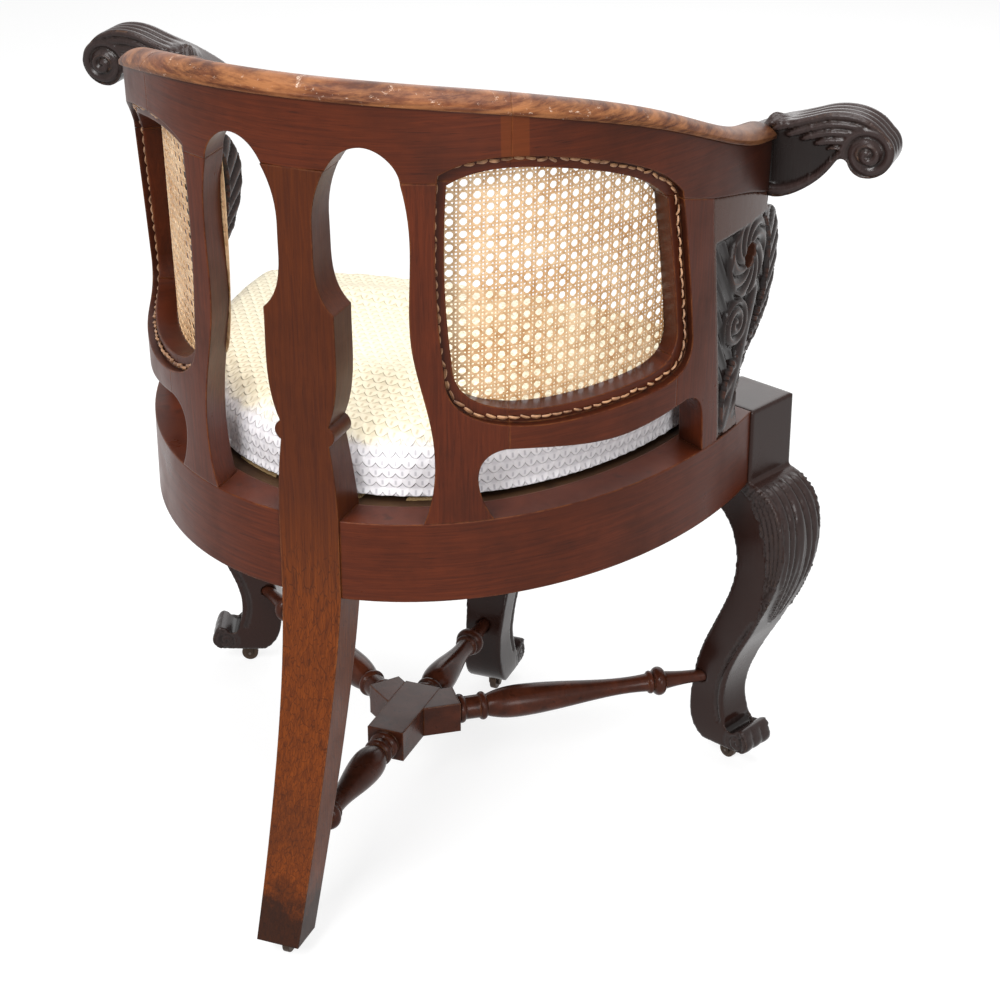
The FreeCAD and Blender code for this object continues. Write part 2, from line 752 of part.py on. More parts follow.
def ear(name, side):
    """A hollow-cut bracket under a front rail beside a leg."""
    points = [Vector(0, 0, rail_bottom), Vector(-ear_reach, 0, rail_bottom),
              Vector(-ear_reach * 0.9, 0, rail_bottom - ear_drop * 0.25),
              Vector(-ear_reach * 0.35, 0, rail_bottom - ear_drop * 0.45),
              Vector(0, 0, rail_bottom - ear_drop)]
    edges = [Part.makeLine(points[0], points[1]), Part.makeLine(points[1], points[2]),
             Part.Arc(points[2], points[3], points[4]).toShape(), Part.makeLine(points[4], points[0])]
    shape = Part.Face(Part.Wire(edges)).extrude(Vector(0, ear_thick, 0))
    inset = block_half - front_rail_thick / 2
    if name == "front":
        place = Placement(Vector(inset + ear_thick / 2, side * block_half, 0),
                          Rotation(Vector(0, 0, 1), 90))
        if side > 0:
            shape = shape.mirror(Vector(0, 0, 0), Vector(1, 0, 0))
    else:
        place = Placement(Vector(-block_half, -inset - ear_thick / 2, 0), Rotation())
    shape.Placement = leg_place(name).multiply(place)
    return shape


def arm_support():
    """The pierced bracket that carries the arm's end, wide above and slim at its foot."""
    outward, forward = facing(support_angle)
    middle = oval(support_angle, 0.0)
    def at(along, up):
        return middle + forward * along + Vector(0, 0, up) - outward * 60.0
    top = line_height(crest_under, support_angle) + 40.0
    rear = support_top_rear - 40.0
    runs = [[at(rear, 0.0), at(rear, top)], [at(rear, top), at(support_top_front, top)],
            [at(support_top_front, top), at(support_top_front, 208.0)],
            [at(support_top_front, 208.0), at(support_bulge - 12.0, 186.0),
             at(support_bulge, support_bulge_up), at(support_bulge - 14.0, 112.0), at(support_top_front, 84.0),
             at(support_foot_front + 9.0, 66.0), at(support_foot_front - 3.0, 45.0), at(support_foot_front, 0.0)],
            [at(support_foot_front, 0.0), at(rear, 0.0)]]
    plate = face_of(runs).extrude(outward * 120.0)
    plate = plate.common(back_shell(0.0, 345.0, 1.0, back_thick - 1.0, 60.0, 104.0))
    plate = plate.common(ahead_of_stile(fit))
    hole_start = at(support_hole_along, support_hole_up)
    hole = Part.makeCylinder(support_hole_radius, 200.0, hole_start, outward)
    plate = biggest(plate.cut([crest_block(fit, 2.0), hole, hand_space()]))
    tenons = stile_tenons()
    return plate.fuse([tenons[2], tenons[5]]).removeSplitter()


def hand_outline():
    """The scroll hand seen along the arm: a hanging belly, a high crown and a volute at the end."""
    under = line_height(crest_under, 86.0)
    top = line_height(crest_line, 86.0) + cap_height
    def at(x, up):
        return Vector(x, widest_y + arm_end_behind - hand_depth, rail_top + up)
    low_run = [at(hand_inner, under - hand_belly + 3.0), at(hand_inner + 18.0, under - hand_belly + 3.0),
               at(hand_inner + 42.0, under - hand_belly), at(hand_inner + 62.0, under - hand_belly + 6.0),
               at(volute_x - 47.0, volute_up - 31.0), at(volute_x - 33.0, volute_up - 12.0)]
    neck = [low_run[-1], at(volute_x - 26.0, volute_up - 8.0), at(volute_x - 20.0, volute_up - 14.0)]
    roll = [neck[-1], at(volute_x - 4.0, volute_up - volute_radius), at(volute_x + 16.0, volute_up - 19.0),
            at(volute_x + volute_radius, volute_up), at(volute_x + 17.0, volute_up + 22.0)]
    high_run = [roll[-1], at(volute_x - 18.0, volute_up + hand_crown),
                at(volute_x - 51.0, volute_up + hand_crown - 4.0), at(hand_inner + 48.0, top + 8.0),
                at(hand_inner + 24.0, top - 2.0), at(hand_inner, top - 14.0)]
    return face_of([low_run, neck, roll, high_run, [high_run[-1], low_run[0]]])


def hand_space():
    """The space that a scroll hand takes, with a clearance below and behind it."""
    space = hand_outline().extrude(Vector(0, hand_depth + fit, 0))
    space.translate(Vector(0, 0, -fit))
    return space


def scroll_hand():
    """The carved hand that turns outwards from the arm's end and curls over into a volute."""
    shape = hand_outline().extrude(Vector(0, hand_depth, 0))
    front = widest_y + arm_end_behind - hand_depth - volute_eye_proud
    eye = Part.makeCylinder(volute_eye_radius, hand_depth + 2 * volute_eye_proud,
                            Vector(volute_x, front, rail_top + volute_up), Vector(0, 1, 0))
    return shape.fuse([eye, hand_dowel()]).removeSplitter()


def hand_dowel(grow=0.0):
    """The round dowel that joins a scroll hand to its arm."""
    middle = oval(86.0, 0.0, back_thick / 2)
    up = rail_top + (line_height(crest_under, 86.0) + line_height(crest_line, 86.0)) / 2
    front = widest_y + arm_end_behind
    return Part.makeCylinder(5.0 + grow, 24.0 + grow, Vector(middle.x, front, up), Vector(0, 1, 0))


def hub_point():
    """The middle of the crossed stretcher."""
    return Vector(0, widest_y + hub_behind, stretcher_up)


def ankle_point():
    """Where a side arm of the stretcher aims: the middle of the left leg at the stretcher's height."""
    out = ankle_out - ankle_thick / 2 + 3.0
    return leg_place("left").multVec(Vector(out, 0, stretcher_up))


def side_arm_angle():
    """Angle of the left stretcher arm from straight ahead."""
    way = ankle_point() - hub_point()
    return math.degrees(math.atan2(way.x, -way.y))


def arm_direction(angle):
    """Level direction at an angle from straight ahead, towards the chair's left."""
    turn = math.radians(angle)
    return Vector(math.sin(turn), -math.cos(turn), 0)


def leg_distance(angle):
    """How far the stretcher's arm runs from the hub to the near face of its leg."""
    hub = hub_point()
    if angle == 180.0:
        share = (rail_bottom - stretcher_up) / (rail_bottom - caster_height)
        depth = post_depth + (rear_foot_depth - post_depth) * share
        return widest_y + rear_line(stretcher_up) - depth - hub.y
    near = ankle_thick / 2
    if angle == 0.0:
        middle = leg_place("front").multVec(Vector(ankle_out - ankle_thick / 2 + 3.0, 0, stretcher_up))
        return hub.y - middle.y - near
    return (ankle_point() - hub).Length - near - 3.0


def stretcher_bore(angle):
    """The bore in a leg for the end of a stretcher arm."""
    start = hub_point() + arm_direction(angle) * (leg_distance(angle) - 30.0)
    return Part.makeCylinder(spigot_radius + fit, 30.0 + spigot_depth + fit, start, arm_direction(angle))


def turning(start, end):
    """A turned arm along +X: rings by the block, a vase bulb, a long taper, a knop and its spigot."""
    length = end - start
    knop = end - min(46.0, length * 0.24)
    def at(along, radius):
        return Vector(along, 0, radius)
    neck = start + length * 0.11
    runs = [[at(start, 0.0), at(start, 13.0)],
            [at(start, 13.0), at(start + 4.0, 15.0), at(start + 8.0, 12.0)],
            [at(start + 8.0, 12.0), at(neck - 6.0, 12.0)],
            [at(neck - 6.0, 12.0), at(neck - 2.0, 14.5), at(neck + 2.0, 11.0)],
            [at(neck + 2.0, 11.0), at(neck + length * 0.09, bulb_radius - 1.0),
             at(neck + length * 0.17, bulb_radius - 0.5),
             at((neck + knop) / 2 + 8.0, spindle_end_radius + 2.5), at(knop - 12.0, spindle_end_radius)],
            [at(knop - 12.0, spindle_end_radius), at(knop - 9.0, spindle_end_radius + 2.5),
             at(knop - 6.0, spindle_end_radius)],
            [at(knop - 6.0, spindle_end_radius), at(knop, knop_radius), at(knop + 7.0, spindle_end_radius)],
            [at(knop + 7.0, spindle_end_radius), at((knop + end) / 2, spigot_radius + 1.0),
             at(end - 4.0, spigot_radius)],
            [at(end - 4.0, spigot_radius), at(end + spigot_depth, spigot_radius)],
            [at(end + spigot_depth, spigot_radius), at(end + spigot_depth, 0.0)],
            [at(end + spigot_depth, 0.0), at(start, 0.0)]]
    return face_of(runs).revolve(Vector(0, 0, 0), Vector(1, 0, 0), 360)


def placed_arm(shape, angle):
    """A stretcher piece made along +X, set at the hub at an angle from straight ahead."""
    way = arm_direction(angle)
    turn = math.degrees(math.atan2(way.y, way.x))
    shape.Placement = Placement(hub_point(), Rotation(Vector(0, 0, 1), turn))
    return shape


def hub_block(grow=0.0):
    """The long block in the middle of the main stretcher."""
    hub = hub_point()
    return box(-hub_half - grow, hub_half + grow, hub.y - hub_front, hub.y + hub_rear,
               hub.z - hub_height / 2, hub.z + hub_height / 2)


def stretcher_main():
    """The stretcher bar from rear leg to front leg, with the hub block left square."""
    rear = placed_arm(turning(hub_rear, leg_distance(180.0)), 180.0)
    front = placed_arm(turning(hub_front, leg_distance(0.0)), 0.0)
    bar = hub_block().fuse([rear, front])
    bore = hub_dowel(fit)
    return bar.cut([bore, mirrored(bore)]).removeSplitter()


def hub_dowel(grow=0.0):
    """The dowel that joins a side arm to the hub block."""
    way = arm_direction(side_arm_angle())
    reach = hub_half / way.x
    start = hub_point() + way * (reach - 8.0 - grow)
    return Part.makeCylinder(4.0 + grow, 22.0, start, way)


def stretcher_side():
    """One side arm of the stretcher with its square end mitred to the hub block."""
    angle = side_arm_angle()
    square = box(0.0, side_block_reach, -side_block_half, side_block_half, -hub_height / 2, hub_height / 2)
    square = biggest(placed_arm(square, angle).cut(hub_block()).cut(box(-far, 0.0, -far, far, 0, far)))
    arm = placed_arm(turning(side_block_reach, leg_distance(angle)), angle)
    return square.fuse([arm, hub_dowel()]).removeSplitter()


def seat_face(inset_back, inset_front, up):
    """Plan of the seat between the rails, inset from their outer faces."""
    across = seat_half_width - inset_back
    corner = bow_point(across, inset_front)
    rear = [oval_edge(0.0, inset_back, -90.0, 0.0), oval_edge(0.0, inset_back, 0.0, 90.0)]
    for edge in rear:
        edge.translate(Vector(0, 0, up - rail_top))
    left = Part.makeLine(Vector(across, widest_y, up), Vector(across, corner.y, up))
    right = Part.makeLine(Vector(-across, corner.y, up), Vector(-across, widest_y, up))
    front = [bow_edge(across, 0.0, inset_front, up), bow_edge(0.0, -across, inset_front, up)]
    return Part.Wire(rear + [left] + front + [right])


def seat_levels():
    """Heights of the drop-in seat's frame and webbing above the floor."""
    low = rail_top - rebate_depth
    return low, low + seat_frame_thick


def seat_frame():
    """The wooden ring that drops into the rails."""
    low, web = seat_levels()
    whole = Part.Face(seat_face(ledge_width + seat_gap, front_ledge_width + seat_gap, low))
    hole = seat_face(ledge_width + seat_gap, front_ledge_width + seat_gap, low - 1.0)
    hole.scale(seat_hole_share, Vector(0, widest_y + cushion_behind * 0.4, low - 1.0))
    hole = Part.Face(hole).extrude(Vector(0, 0, seat_frame_thick + 2.0))
    ring = whole.extrude(Vector(0, 0, seat_frame_thick)).cut(hole)
    post_front = widest_y + seat_depth_behind - post_depth
    post = box(-post_half - seat_gap, post_half + seat_gap, post_front - seat_gap, far, 0, far)
    blocks = [leg_block(name, seat_gap) for name in ("left", "front")]
    return biggest(ring.cut([post, mirrored(blocks[0])] + blocks))


def seat_webbing():
    """Straps across the seat frame, three fore and aft and three over them from side to side."""
    web = seat_levels()[1]
    plan = seat_face(ledge_width + seat_gap, front_ledge_width + seat_gap, web)
    plan.scale(web_plan_share, Vector(0, widest_y + cushion_behind * 0.4, web))
    plan = Part.Face(plan).extrude(Vector(0, 0, 2 * web_thick))
    straps = []
    for place in (-1, 0, 1):
        x = place * (web_width + 40.0)
        straps.append(box(x - web_width / 2, x + web_width / 2, -far, far, web, web + web_thick))
        y = widest_y + 120.0 + place * (web_width + 40.0)
        straps.append(box(-far, far, y - web_width / 2, y + web_width / 2,
                          web + web_thick, web + 2 * web_thick))
    post_front = widest_y + seat_depth_behind - post_depth
    post = box(-post_half - 2.0, post_half + 2.0, post_front - 2.0, far, 0, far)
    blocks = [leg_block(name, 2.0) for name in ("left", "front")]
    blocks.append(mirrored(blocks[0]))
    return Part.makeCompound([biggest(strap.common(plan).cut([post] + blocks)) for strap in straps])


def cushion_plan():
    """The cushion's fullest outline, a half oval behind and a shallow bow in front."""
    corner = bow_point(cushion_half_width, cushion_front_inset)
    rear = Vector(0, widest_y + cushion_behind, rail_top)
    side = Vector(cushion_half_width, widest_y, rail_top)
    plan = Part.Ellipse(rear, side, Vector(0, widest_y, rail_top))
    quarter = math.pi / 2
    edges = [Part.ArcOfEllipse(plan, -quarter, 0.0).toShape(),
             Part.ArcOfEllipse(plan, 0.0, quarter).toShape(),
             Part.makeLine(side, Vector(side.x, corner.y, rail_top)),
             bow_edge(side.x, 0.0, cushion_front_inset, rail_top),
             bow_edge(0.0, -side.x, cushion_front_inset, rail_top),
             Part.makeLine(Vector(-side.x, corner.y, rail_top), Vector(-side.x, widest_y, rail_top))]
    return Part.Wire(edges)


def seat_cushion():
    """The thick crowned cushion: drawn in at its foot, full at the side, round over the top."""
    foot = rail_top + cushion_gap
    crown = cushion_crown - cushion_gap
    roll = crown - cushion_side
    steps = ((0.0, 0.97), (cushion_side * 0.4, 1.0), (cushion_side * 0.8, 0.993),
             (cushion_side + roll * 0.3, 0.94), (cushion_side + roll * 0.64, 0.83),
             (cushion_side + roll * 0.88, 0.64), (crown, 0.35))
    middle = Vector(0, widest_y + cushion_behind * 0.4, rail_top)
    wires = []
    for up, share in steps:
        wire = cushion_plan()
        wire.scale(share, middle)
        wire.translate(Vector(0, 0, foot + up - rail_top))
        wires.append(wire)
    return Part.makeLoft(wires, True, False)


def caster_place(name):
    """The swivel axis of a caster on the floor and the way the caster trails."""
    if name == "rear":
        return Vector(0, widest_y + rear_line(caster_height) - rear_foot_depth / 2, 0), 180.0 + 90.0
    out = (toe_out - 8.0 - heel_in) / 2
    leg_name = "front" if name == "front" else "left"
    place = leg_place(leg_name)
    turn = 90.0 if name == "front" else block_turn + 180.0
    return place.multVec(Vector(out, 0, 0)), turn


def set_caster(shape, name):
    """A caster piece made with its swivel at the origin, trailing along +X, set under its foot."""
    place, turn = caster_place(name)
    shape.Placement = Placement(place, Rotation(Vector(0, 0, 1), turn))
    return mirrored(shape) if name == "right" else shape


def screw_spots():
    """Places of the screws round a caster plate."""
    turns = [math.radians(60.0 + 360.0 * number / screws_per_plate) for number in range(screws_per_plate)]
    return [Vector(screw_circle * math.cos(turn), screw_circle * math.sin(turn), 0) for turn in turns]


def screw(spot, grow=0.0):
    """A countersunk screw driven up through the plate."""
    start = spot + Vector(0, 0, caster_height - plate_thick)
    shank = Part.makeCylinder(screw_radius + grow, plate_thick + screw_length + grow, start)
    head = Part.makeCone(2 * screw_radius + grow, screw_radius + grow, screw_radius, start)
    return shank.fuse(head)


def caster_bores(name):
    """Bores in a foot for a caster's stem and screws."""
    leg_name = "left" if name in ("left", "right") else name
    bores = [Part.makeCylinder(stem_radius + 0.5, stem_length + 4.0, Vector(0, 0, caster_height - 1.0))]
    bores += [screw(spot, running_clearance) for spot in screw_spots()]
    return [set_caster(bore, leg_name) for bore in bores]


def caster_plate(name):
    """The round plate screwed to the foot."""
    plate = Part.makeCylinder(plate_radius, plate_thick, Vector(0, 0, caster_height - plate_thick))
    bore = Part.makeCylinder(stem_radius + running_clearance, plate_thick + 2.0,
                             Vector(0, 0, caster_height - plate_thick - 1.0))
    return set_caster(plate.cut([bore] + [screw(spot, running_clearance) for spot in screw_spots()]), name)


def caster_horn(name):
    """The swivelling fork with its stem and two cheeks."""
    crown_top = caster_height - plate_thick - swivel_gap
    crown_low = 2 * wheel_radius + wheel_gap
    crown = Part.makeCylinder(plate_radius - 2.5, crown_top - crown_low, Vector(0, 0, crown_low))
    stem = Part.makeCylinder(stem_radius, crown_top + stem_length - crown_low, Vector(0, 0, crown_low))
    half = wheel_width / 2 + wheel_gap
    cheeks = []
    for side in (half, -half - fork_thick):
        cheek = box(caster_trail - 4.0, caster_trail + 4.0, side, side + fork_thick,
                    wheel_radius, crown_low + 0.5)
        boss = Part.makeCylinder(4.0, fork_thick, Vector(caster_trail, side, wheel_radius), Vector(0, 1, 0))
        cheeks += [cheek, boss]
    bore = Part.makeCylinder(axle_radius + running_clearance, 40.0, Vector(caster_trail, -20.0, wheel_radius),
                             Vector(0, 1, 0))
    return set_caster(crown.fuse([stem] + cheeks).cut(bore).removeSplitter(), name)


def caster_axle(name):
    """The pin through fork and wheel."""
    half = wheel_width / 2 + wheel_gap + fork_thick
    pin = Part.makeCylinder(axle_radius, 2 * half, Vector(caster_trail, -half, wheel_radius), Vector(0, 1, 0))
    return set_caster(pin, name)


def caster_wheel(name):
    """The small wheel with rounded edges."""
    wheel = Part.makeCylinder(wheel_radius, wheel_width, Vector(caster_trail, -wheel_width / 2, wheel_radius),
                              Vector(0, 1, 0))
    wheel = wheel.makeFillet(wheel_width / 6, wheel.Edges)
    bore = Part.makeCylinder(axle_radius + running_clearance, wheel_width + 2.0,
                             Vector(caster_trail, -wheel_width / 2 - 1.0, wheel_radius), Vector(0, 1, 0))
    return set_caster(wheel.cut(bore), name)


def caster_screws(name):
    """The screws that hold one caster's plate."""
    return [set_caster(screw(spot), name) for spot in screw_spots()]


def both_sides(name, shape):
    """The left piece and its mirrored right one."""
    return {name + "_left": shape, name + "_right": mirrored(shape)}


def wooden_parts():
    """Legs, rails, back and arms."""
    web = web_side()
    crest, arm_left, arm_right = crest_parts()
    caps = cap_parts()
    parts = {"rear_post": rear_post(), "crest_rail": crest, "left_leg": leg("left"), "front_leg": leg("front")}
    parts["right_leg"] = mirrored(parts["left_leg"])
    dowel = hand_dowel(fit)
    arm_left = arm_left.cut(dowel)
    parts.update(both_sides("arm_rail", arm_left))
    parts.update({"cap_back": caps[0], "cap_left": caps[1], "cap_right": caps[2]})
    parts.update(both_sides("seat_rail_back", back_rail()))
    parts.update(both_sides("seat_rail_front", front_rail()))
    parts.update(both_sides("inner_stile", inner_stile(web)))
    parts.update(both_sides("outer_stile", outer_stile(web)))
    parts.update(both_sides("panel_rail", panel_rail(web)))
    parts.update(both_sides("arm_support", arm_support()))
    parts.update(both_sides("scroll_hand", scroll_hand()))
    parts.update(both_sides("knee_ear", ear("left", 1)))
    parts["knee_ears_front"] = Part.makeCompound([ear("front", 1), ear("front", -1)])
    parts["stretcher_main"] = stretcher_main()
    parts.update(both_sides("stretcher", stretcher_side()))
    return parts


def seat_parts():
    """Cane panels and the drop-in seat."""
    parts = both_sides("cane_panel", cane_panel())
    parts.update({"seat_frame": seat_frame(), "seat_webbing": seat_webbing(), "seat_cushion": seat_cushion()})
    return parts


def caster_parts():
    """Four casters and all their screws."""
    parts = {}
    screws = []
    for name in ("rear", "left", "right", "front"):
        parts["caster_plate_" + name] = caster_plate(name)
        parts["caster_horn_" + name] = caster_horn(name)
        parts["caster_axle_" + name] = caster_axle(name)
        parts["caster_wheel_" + name] = caster_wheel(name)
        screws += caster_screws(name)
    parts["caster_screws"] = Part.makeCompound(screws)
    return parts


def main():
    parts = {}
    for group in (wooden_parts(), seat_parts(), caster_parts()):
        parts.update(group)
    whole = FreeCAD.BoundBox()
    for name, shape in parts.items():
        shape.exportStep("parts/" + name + ".step")
        whole.add(shape.BoundBox)
        volume = sum(solid.Volume for solid in shape.Solids) / 1000.0
        print(name, len(shape.Solids), shape.isValid(), round(volume, 1))
    sides = (whole.XMin, whole.XMax, whole.YMin, whole.YMax, whole.ZMin, whole.ZMax)
    print("box", [round(side, 1) for side in sides])


main()
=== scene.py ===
import math

import bmesh
import bpy
import numpy as np
from bpy.props import FloatProperty, FloatVectorProperty, IntProperty, PointerProperty, StringProperty
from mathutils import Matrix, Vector


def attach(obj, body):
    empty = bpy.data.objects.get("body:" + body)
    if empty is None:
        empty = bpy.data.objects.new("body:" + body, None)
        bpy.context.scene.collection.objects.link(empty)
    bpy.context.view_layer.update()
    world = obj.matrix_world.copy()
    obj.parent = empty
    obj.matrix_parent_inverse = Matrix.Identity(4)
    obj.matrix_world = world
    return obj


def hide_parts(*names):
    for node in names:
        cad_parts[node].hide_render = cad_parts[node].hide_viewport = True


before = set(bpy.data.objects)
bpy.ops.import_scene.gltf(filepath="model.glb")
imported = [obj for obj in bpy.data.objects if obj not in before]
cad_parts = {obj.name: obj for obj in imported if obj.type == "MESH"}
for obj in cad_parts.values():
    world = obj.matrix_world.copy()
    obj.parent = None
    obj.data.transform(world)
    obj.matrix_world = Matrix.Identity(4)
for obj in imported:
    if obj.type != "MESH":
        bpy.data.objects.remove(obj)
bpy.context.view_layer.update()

bl_info = {
    "name": "Burgermeister chair",
    "version": (1, 0, 0),
    "blender": (4, 5, 0),
    "location": "3D View > Sidebar > Chair",
    "description": "Dresses a round-backed caned armchair: wood, carving, cane, cushion and stage",
    "category": "Object",
}

CHAIR = "chair"
SIDES = (("left", 1.0), ("right", -1.0))

# The back is part of an oval that leans outwards. Angles are degrees from the rear, lengths metres.
WIDEST_Y = -0.1837
HALF_WIDTH = 0.300
DEPTH_BEHIND = 0.398
FLARE = 0.009 / 0.350
RAIL_TOP = 0.418
RAIL_BOTTOM = 0.341
BACK_THICK = 0.032
PANEL_MIDDLE = (43.5, 0.208)
LACING_DEPTH = 0.009
CANE_OUTLINE = (
    (24.6, 0.312), (28.0, 0.320), (34.0, 0.323), (42.0, 0.316), (52.0, 0.298), (57.0, 0.282), (60.3, 0.264),
    (62.2, 0.200), (63.8, 0.130), (62.6, 0.108), (57.0, 0.098), (46.0, 0.096), (34.0, 0.102), (27.6, 0.118),
    (25.2, 0.150), (24.2, 0.230))

# Legs: middle of the block in plan, and the way the leg faces, in degrees from +X.
LEGS = {
    "left_leg": (0.283, -0.1902, 21.5),
    "right_leg": (-0.283, -0.1902, 158.5),
    "front_leg": (0.0, -0.2352, -90.0),
}

# Scroll hands: the volute's middle across and up, and where the hand leaves its arm.
VOLUTE = (0.398, 0.686)
VOLUTE_RADIUS = 0.026
ARM_END_Y = -0.1537
HAND_DEPTH = 0.038
HAND_MIDDLE = (0.370, 0.690)
SUPPORT_ANGLE = 78.0

# The cushion's plan: half an oval behind, a shallow bow in front.
CUSHION_HALF = 0.263
CUSHION_BEHIND = 0.351
CUSHION_AHEAD = 0.055
CUSHION_BOW = 0.92
CUSHION_MIDDLE_Y = WIDEST_Y + 0.14

# Grain in cycles per metre: streaks about 3 mm wide and 70 mm long.
LEVEL_GRAIN = (14.0, 14.0, 330.0)
UPRIGHT_GRAIN = (330.0, 330.0, 14.0)
TURNED_GRAIN = (50.0, 50.0, 50.0)

# Steps round a cane panel's outline, and how far outside the opening each part of the cane lies.
OUTLINE_STEPS = 160
WEAVE_SCALE, BINDING_SCALE, LACING_SCALE = 1.056, 1.04, 1.075

# A cut this deep is wholly dark with grime and painted shade; one under the other number counts as uncarved.
GRIME_AND_SHADE_CUT = 0.0036
NO_CUT = 2e-5
DOUBLES = 1e-5

# Lamps: place, size in metres, power in watts.
LAMPS = {
    "key": ((0.2, 3.0, 2.5), 1.4, 115.0),
    "top": ((-0.2, -0.2, 3.0), 2.0, 70.0),
    "fill": ((-2.3, 2.2, 1.1), 1.2, 42.0),
    "front": ((0.4, -2.6, 1.8), 2.0, 20.0),
}
LAMP_TARGET = (0.0, 0.0, 0.45)
CAMERA_PLACE = (-0.8913, 2.0073, 1.4157)
CAMERA_WAY = (0.330, -0.8345, -0.4412)
CAMERA_LENS = 90.76


def metres(name, description, default):
    """One of the chair's lengths."""
    return FloatProperty(name=name, description=description, default=default, unit="LENGTH")


def hue(name, description, default):
    """One of the chair's colours, as sRGB hex."""
    return StringProperty(name=name, description=description, default=default)


class ChairSizes(bpy.types.PropertyGroup):
    cane_pitch: metres("Cane pitch", "Distance between pairs of cane strands", 0.0115)
    cane_width: metres("Cane width", "Width of one cane strand", 0.0016)
    lace_step: metres("Lacing step", "Distance between loops on the back of the frame", 0.0105)
    lace_length: metres("Lacing loop", "Length of one loop", 0.0095)
    carve_grain: metres("Carving fineness", "Size of the faces that carry the carving", 0.0014)
    carve_depth: metres("Carving depth", "Depth of the carved hollows", 0.0034)
    cushion_grain: metres("Cushion fineness", "Size of the cushion's faces before it is filled", 0.005)
    cushion_swell: metres("Cushion swell", "Most that the filling may push the cloth out", 0.006)
    filling_pressure: FloatProperty(
        name="Filling pressure", description="Pressure of the cushion's filling", default=4.0)
    filling_frames: IntProperty(
        name="Filling frames", description="Frames over which the cushion fills", default=20)


class ChairColours(bpy.types.PropertyGroup):
    mahogany: hue("Mahogany", "Polished faces", "#5c2814")
    mahogany_dark: hue("Mahogany grain", "Darker grain", "#32130a")
    # Real old dark polish, and also the painted shade laid in corners, reveals and carved hollows.
    grime_and_shade: hue("Grime", "Old dark polish in corners", "#1c0f0a")
    rubbed: hue("Rubbed edges", "Edges worn through the polish", "#b06a34")
    leg_worn: hue("Worn leg", "Rear leg below the seat", "#743812")
    cap: hue("Worn cap", "Cap rubbed by arms and hands", "#6f4027")
    cap_bare: hue("Bare cap", "Cap rubbed through its polish", "#a06a42")
    # Pale knocks, laid thicker towards the back as a painted highlight.
    scuff_and_highlight: hue("Scuffs", "Pale knocks along the cap", "#dcc6b2")
    carved: hue("Carved wood", "Raised carved surfaces", "#362a28")
    carved_grain: hue("Carved grain", "Grain of carved wood", "#221816")
    # Grime and painted shade in carved hollows, darker by depth; also the dark polish on the arms.
    carved_deep: hue("Carved hollows", "Grime in the carving", "#120b09")
    carved_bare: hue("Bare carving", "Ridges of the carving", "#7c5a40")
    carved_plain: hue("Uncarved border", "Border of a support", "#4c2f24")
    leg_side: hue("Leg sides", "Plain sides of the carved legs", "#2a1712")
    turned: hue("Turned wood", "Dark polished stretchers", "#552a1b")
    cane: hue("Cane", "Glossy skin of the cane", "#e6c69e")
    cane_old: hue("Aged cane", "Darker strands and knots", "#b98a58")
    lace: hue("Lacing", "Browned loops round the cane", "#bd8f69")
    lace_old: hue("Dirty lacing", "Grime on the loops", "#704c36")
    # One cloth in two lights: the cream top is painted shade, the white side painted sunlight.
    cloth_top_shaded: hue("Cloth on top", "Cream of the cushion's top", "#f6edd2")
    cloth_side_lit: hue("Cloth at the side", "White of its side", "#f3f1f4")
    iron: hue("Iron", "Casters", "#2a2623")
    floor: FloatVectorProperty(
        name="Floor", description="Pale studio floor", subtype="COLOR", default=(0.28, 0.28, 0.28),
        min=0.0, max=1.0)


def linear(text):
    """An sRGB hex colour as linear RGBA."""
    values = [int(text[start:start + 2], 16) / 255 for start in (1, 3, 5)]
    return [v / 12.92 if v <= 0.04045 else ((v + 0.055) / 1.055) ** 2.4 for v in values] + [1.0]


def add(tree, kind, inputs=None, **settings):
    """A new shader node with its settings; an input is a value, an output, or a node for its first output."""
    made = tree.nodes.new("ShaderNode" + kind)
    for key, value in settings.items():
        setattr(made, key, value)
    for key, value in (inputs or {}).items():
        if isinstance(value, bpy.types.Node):
            value = value.outputs[0]
        if isinstance(value, bpy.types.NodeSocket):
            tree.links.new(value, made.inputs[key])
        else:
            made.inputs[key].default_value = value
    return made


def sums(tree, operation, *values, **settings):
    """A sum worked out by a node."""
    return add(tree, "Math", dict(enumerate(values)), operation=operation, **settings)


def ramp(tree, value, low, high, most=1.0, least=0.0):
    """A share that goes from least, where a value is low, to most, where it is high."""
    return add(tree, "MapRange", {"Value": value, "From Min": low, "From Max": high, "To Min": least,
                                  "To Max": most})


def blend(tree, share, first, second):
    """The first colour turned into the second by a share."""
    return add(tree, "Mix", {0: share, 6: first, 7: second}, data_type="RGBA").outputs[2]


def blank(name, **sockets):
    """A material with only its shader, the shader's plain numbers set, and the place on the piece."""
    material = bpy.data.materials.new(name)
    material.use_nodes = True
    tree = material.node_tree
    tree.nodes.clear()
    numbers = {key.replace("_", " "): value for key, value in sockets.items()}
    shader = add(tree, "BsdfPrincipled", numbers)
    add(tree, "OutputMaterial", {"Surface": shader})
    return material, tree, shader, add(tree, "TexCoord").outputs["Object"]


def cover(made, share, colour):
    """Lays one more colour over a material, by a share."""
    _, tree, shader, _ = made
    under = shader.inputs["Base Color"].links[0].from_socket
    mixed = blend(tree, share, under, linear(colour))
    tree.links.new(mixed, shader.inputs["Base Color"])


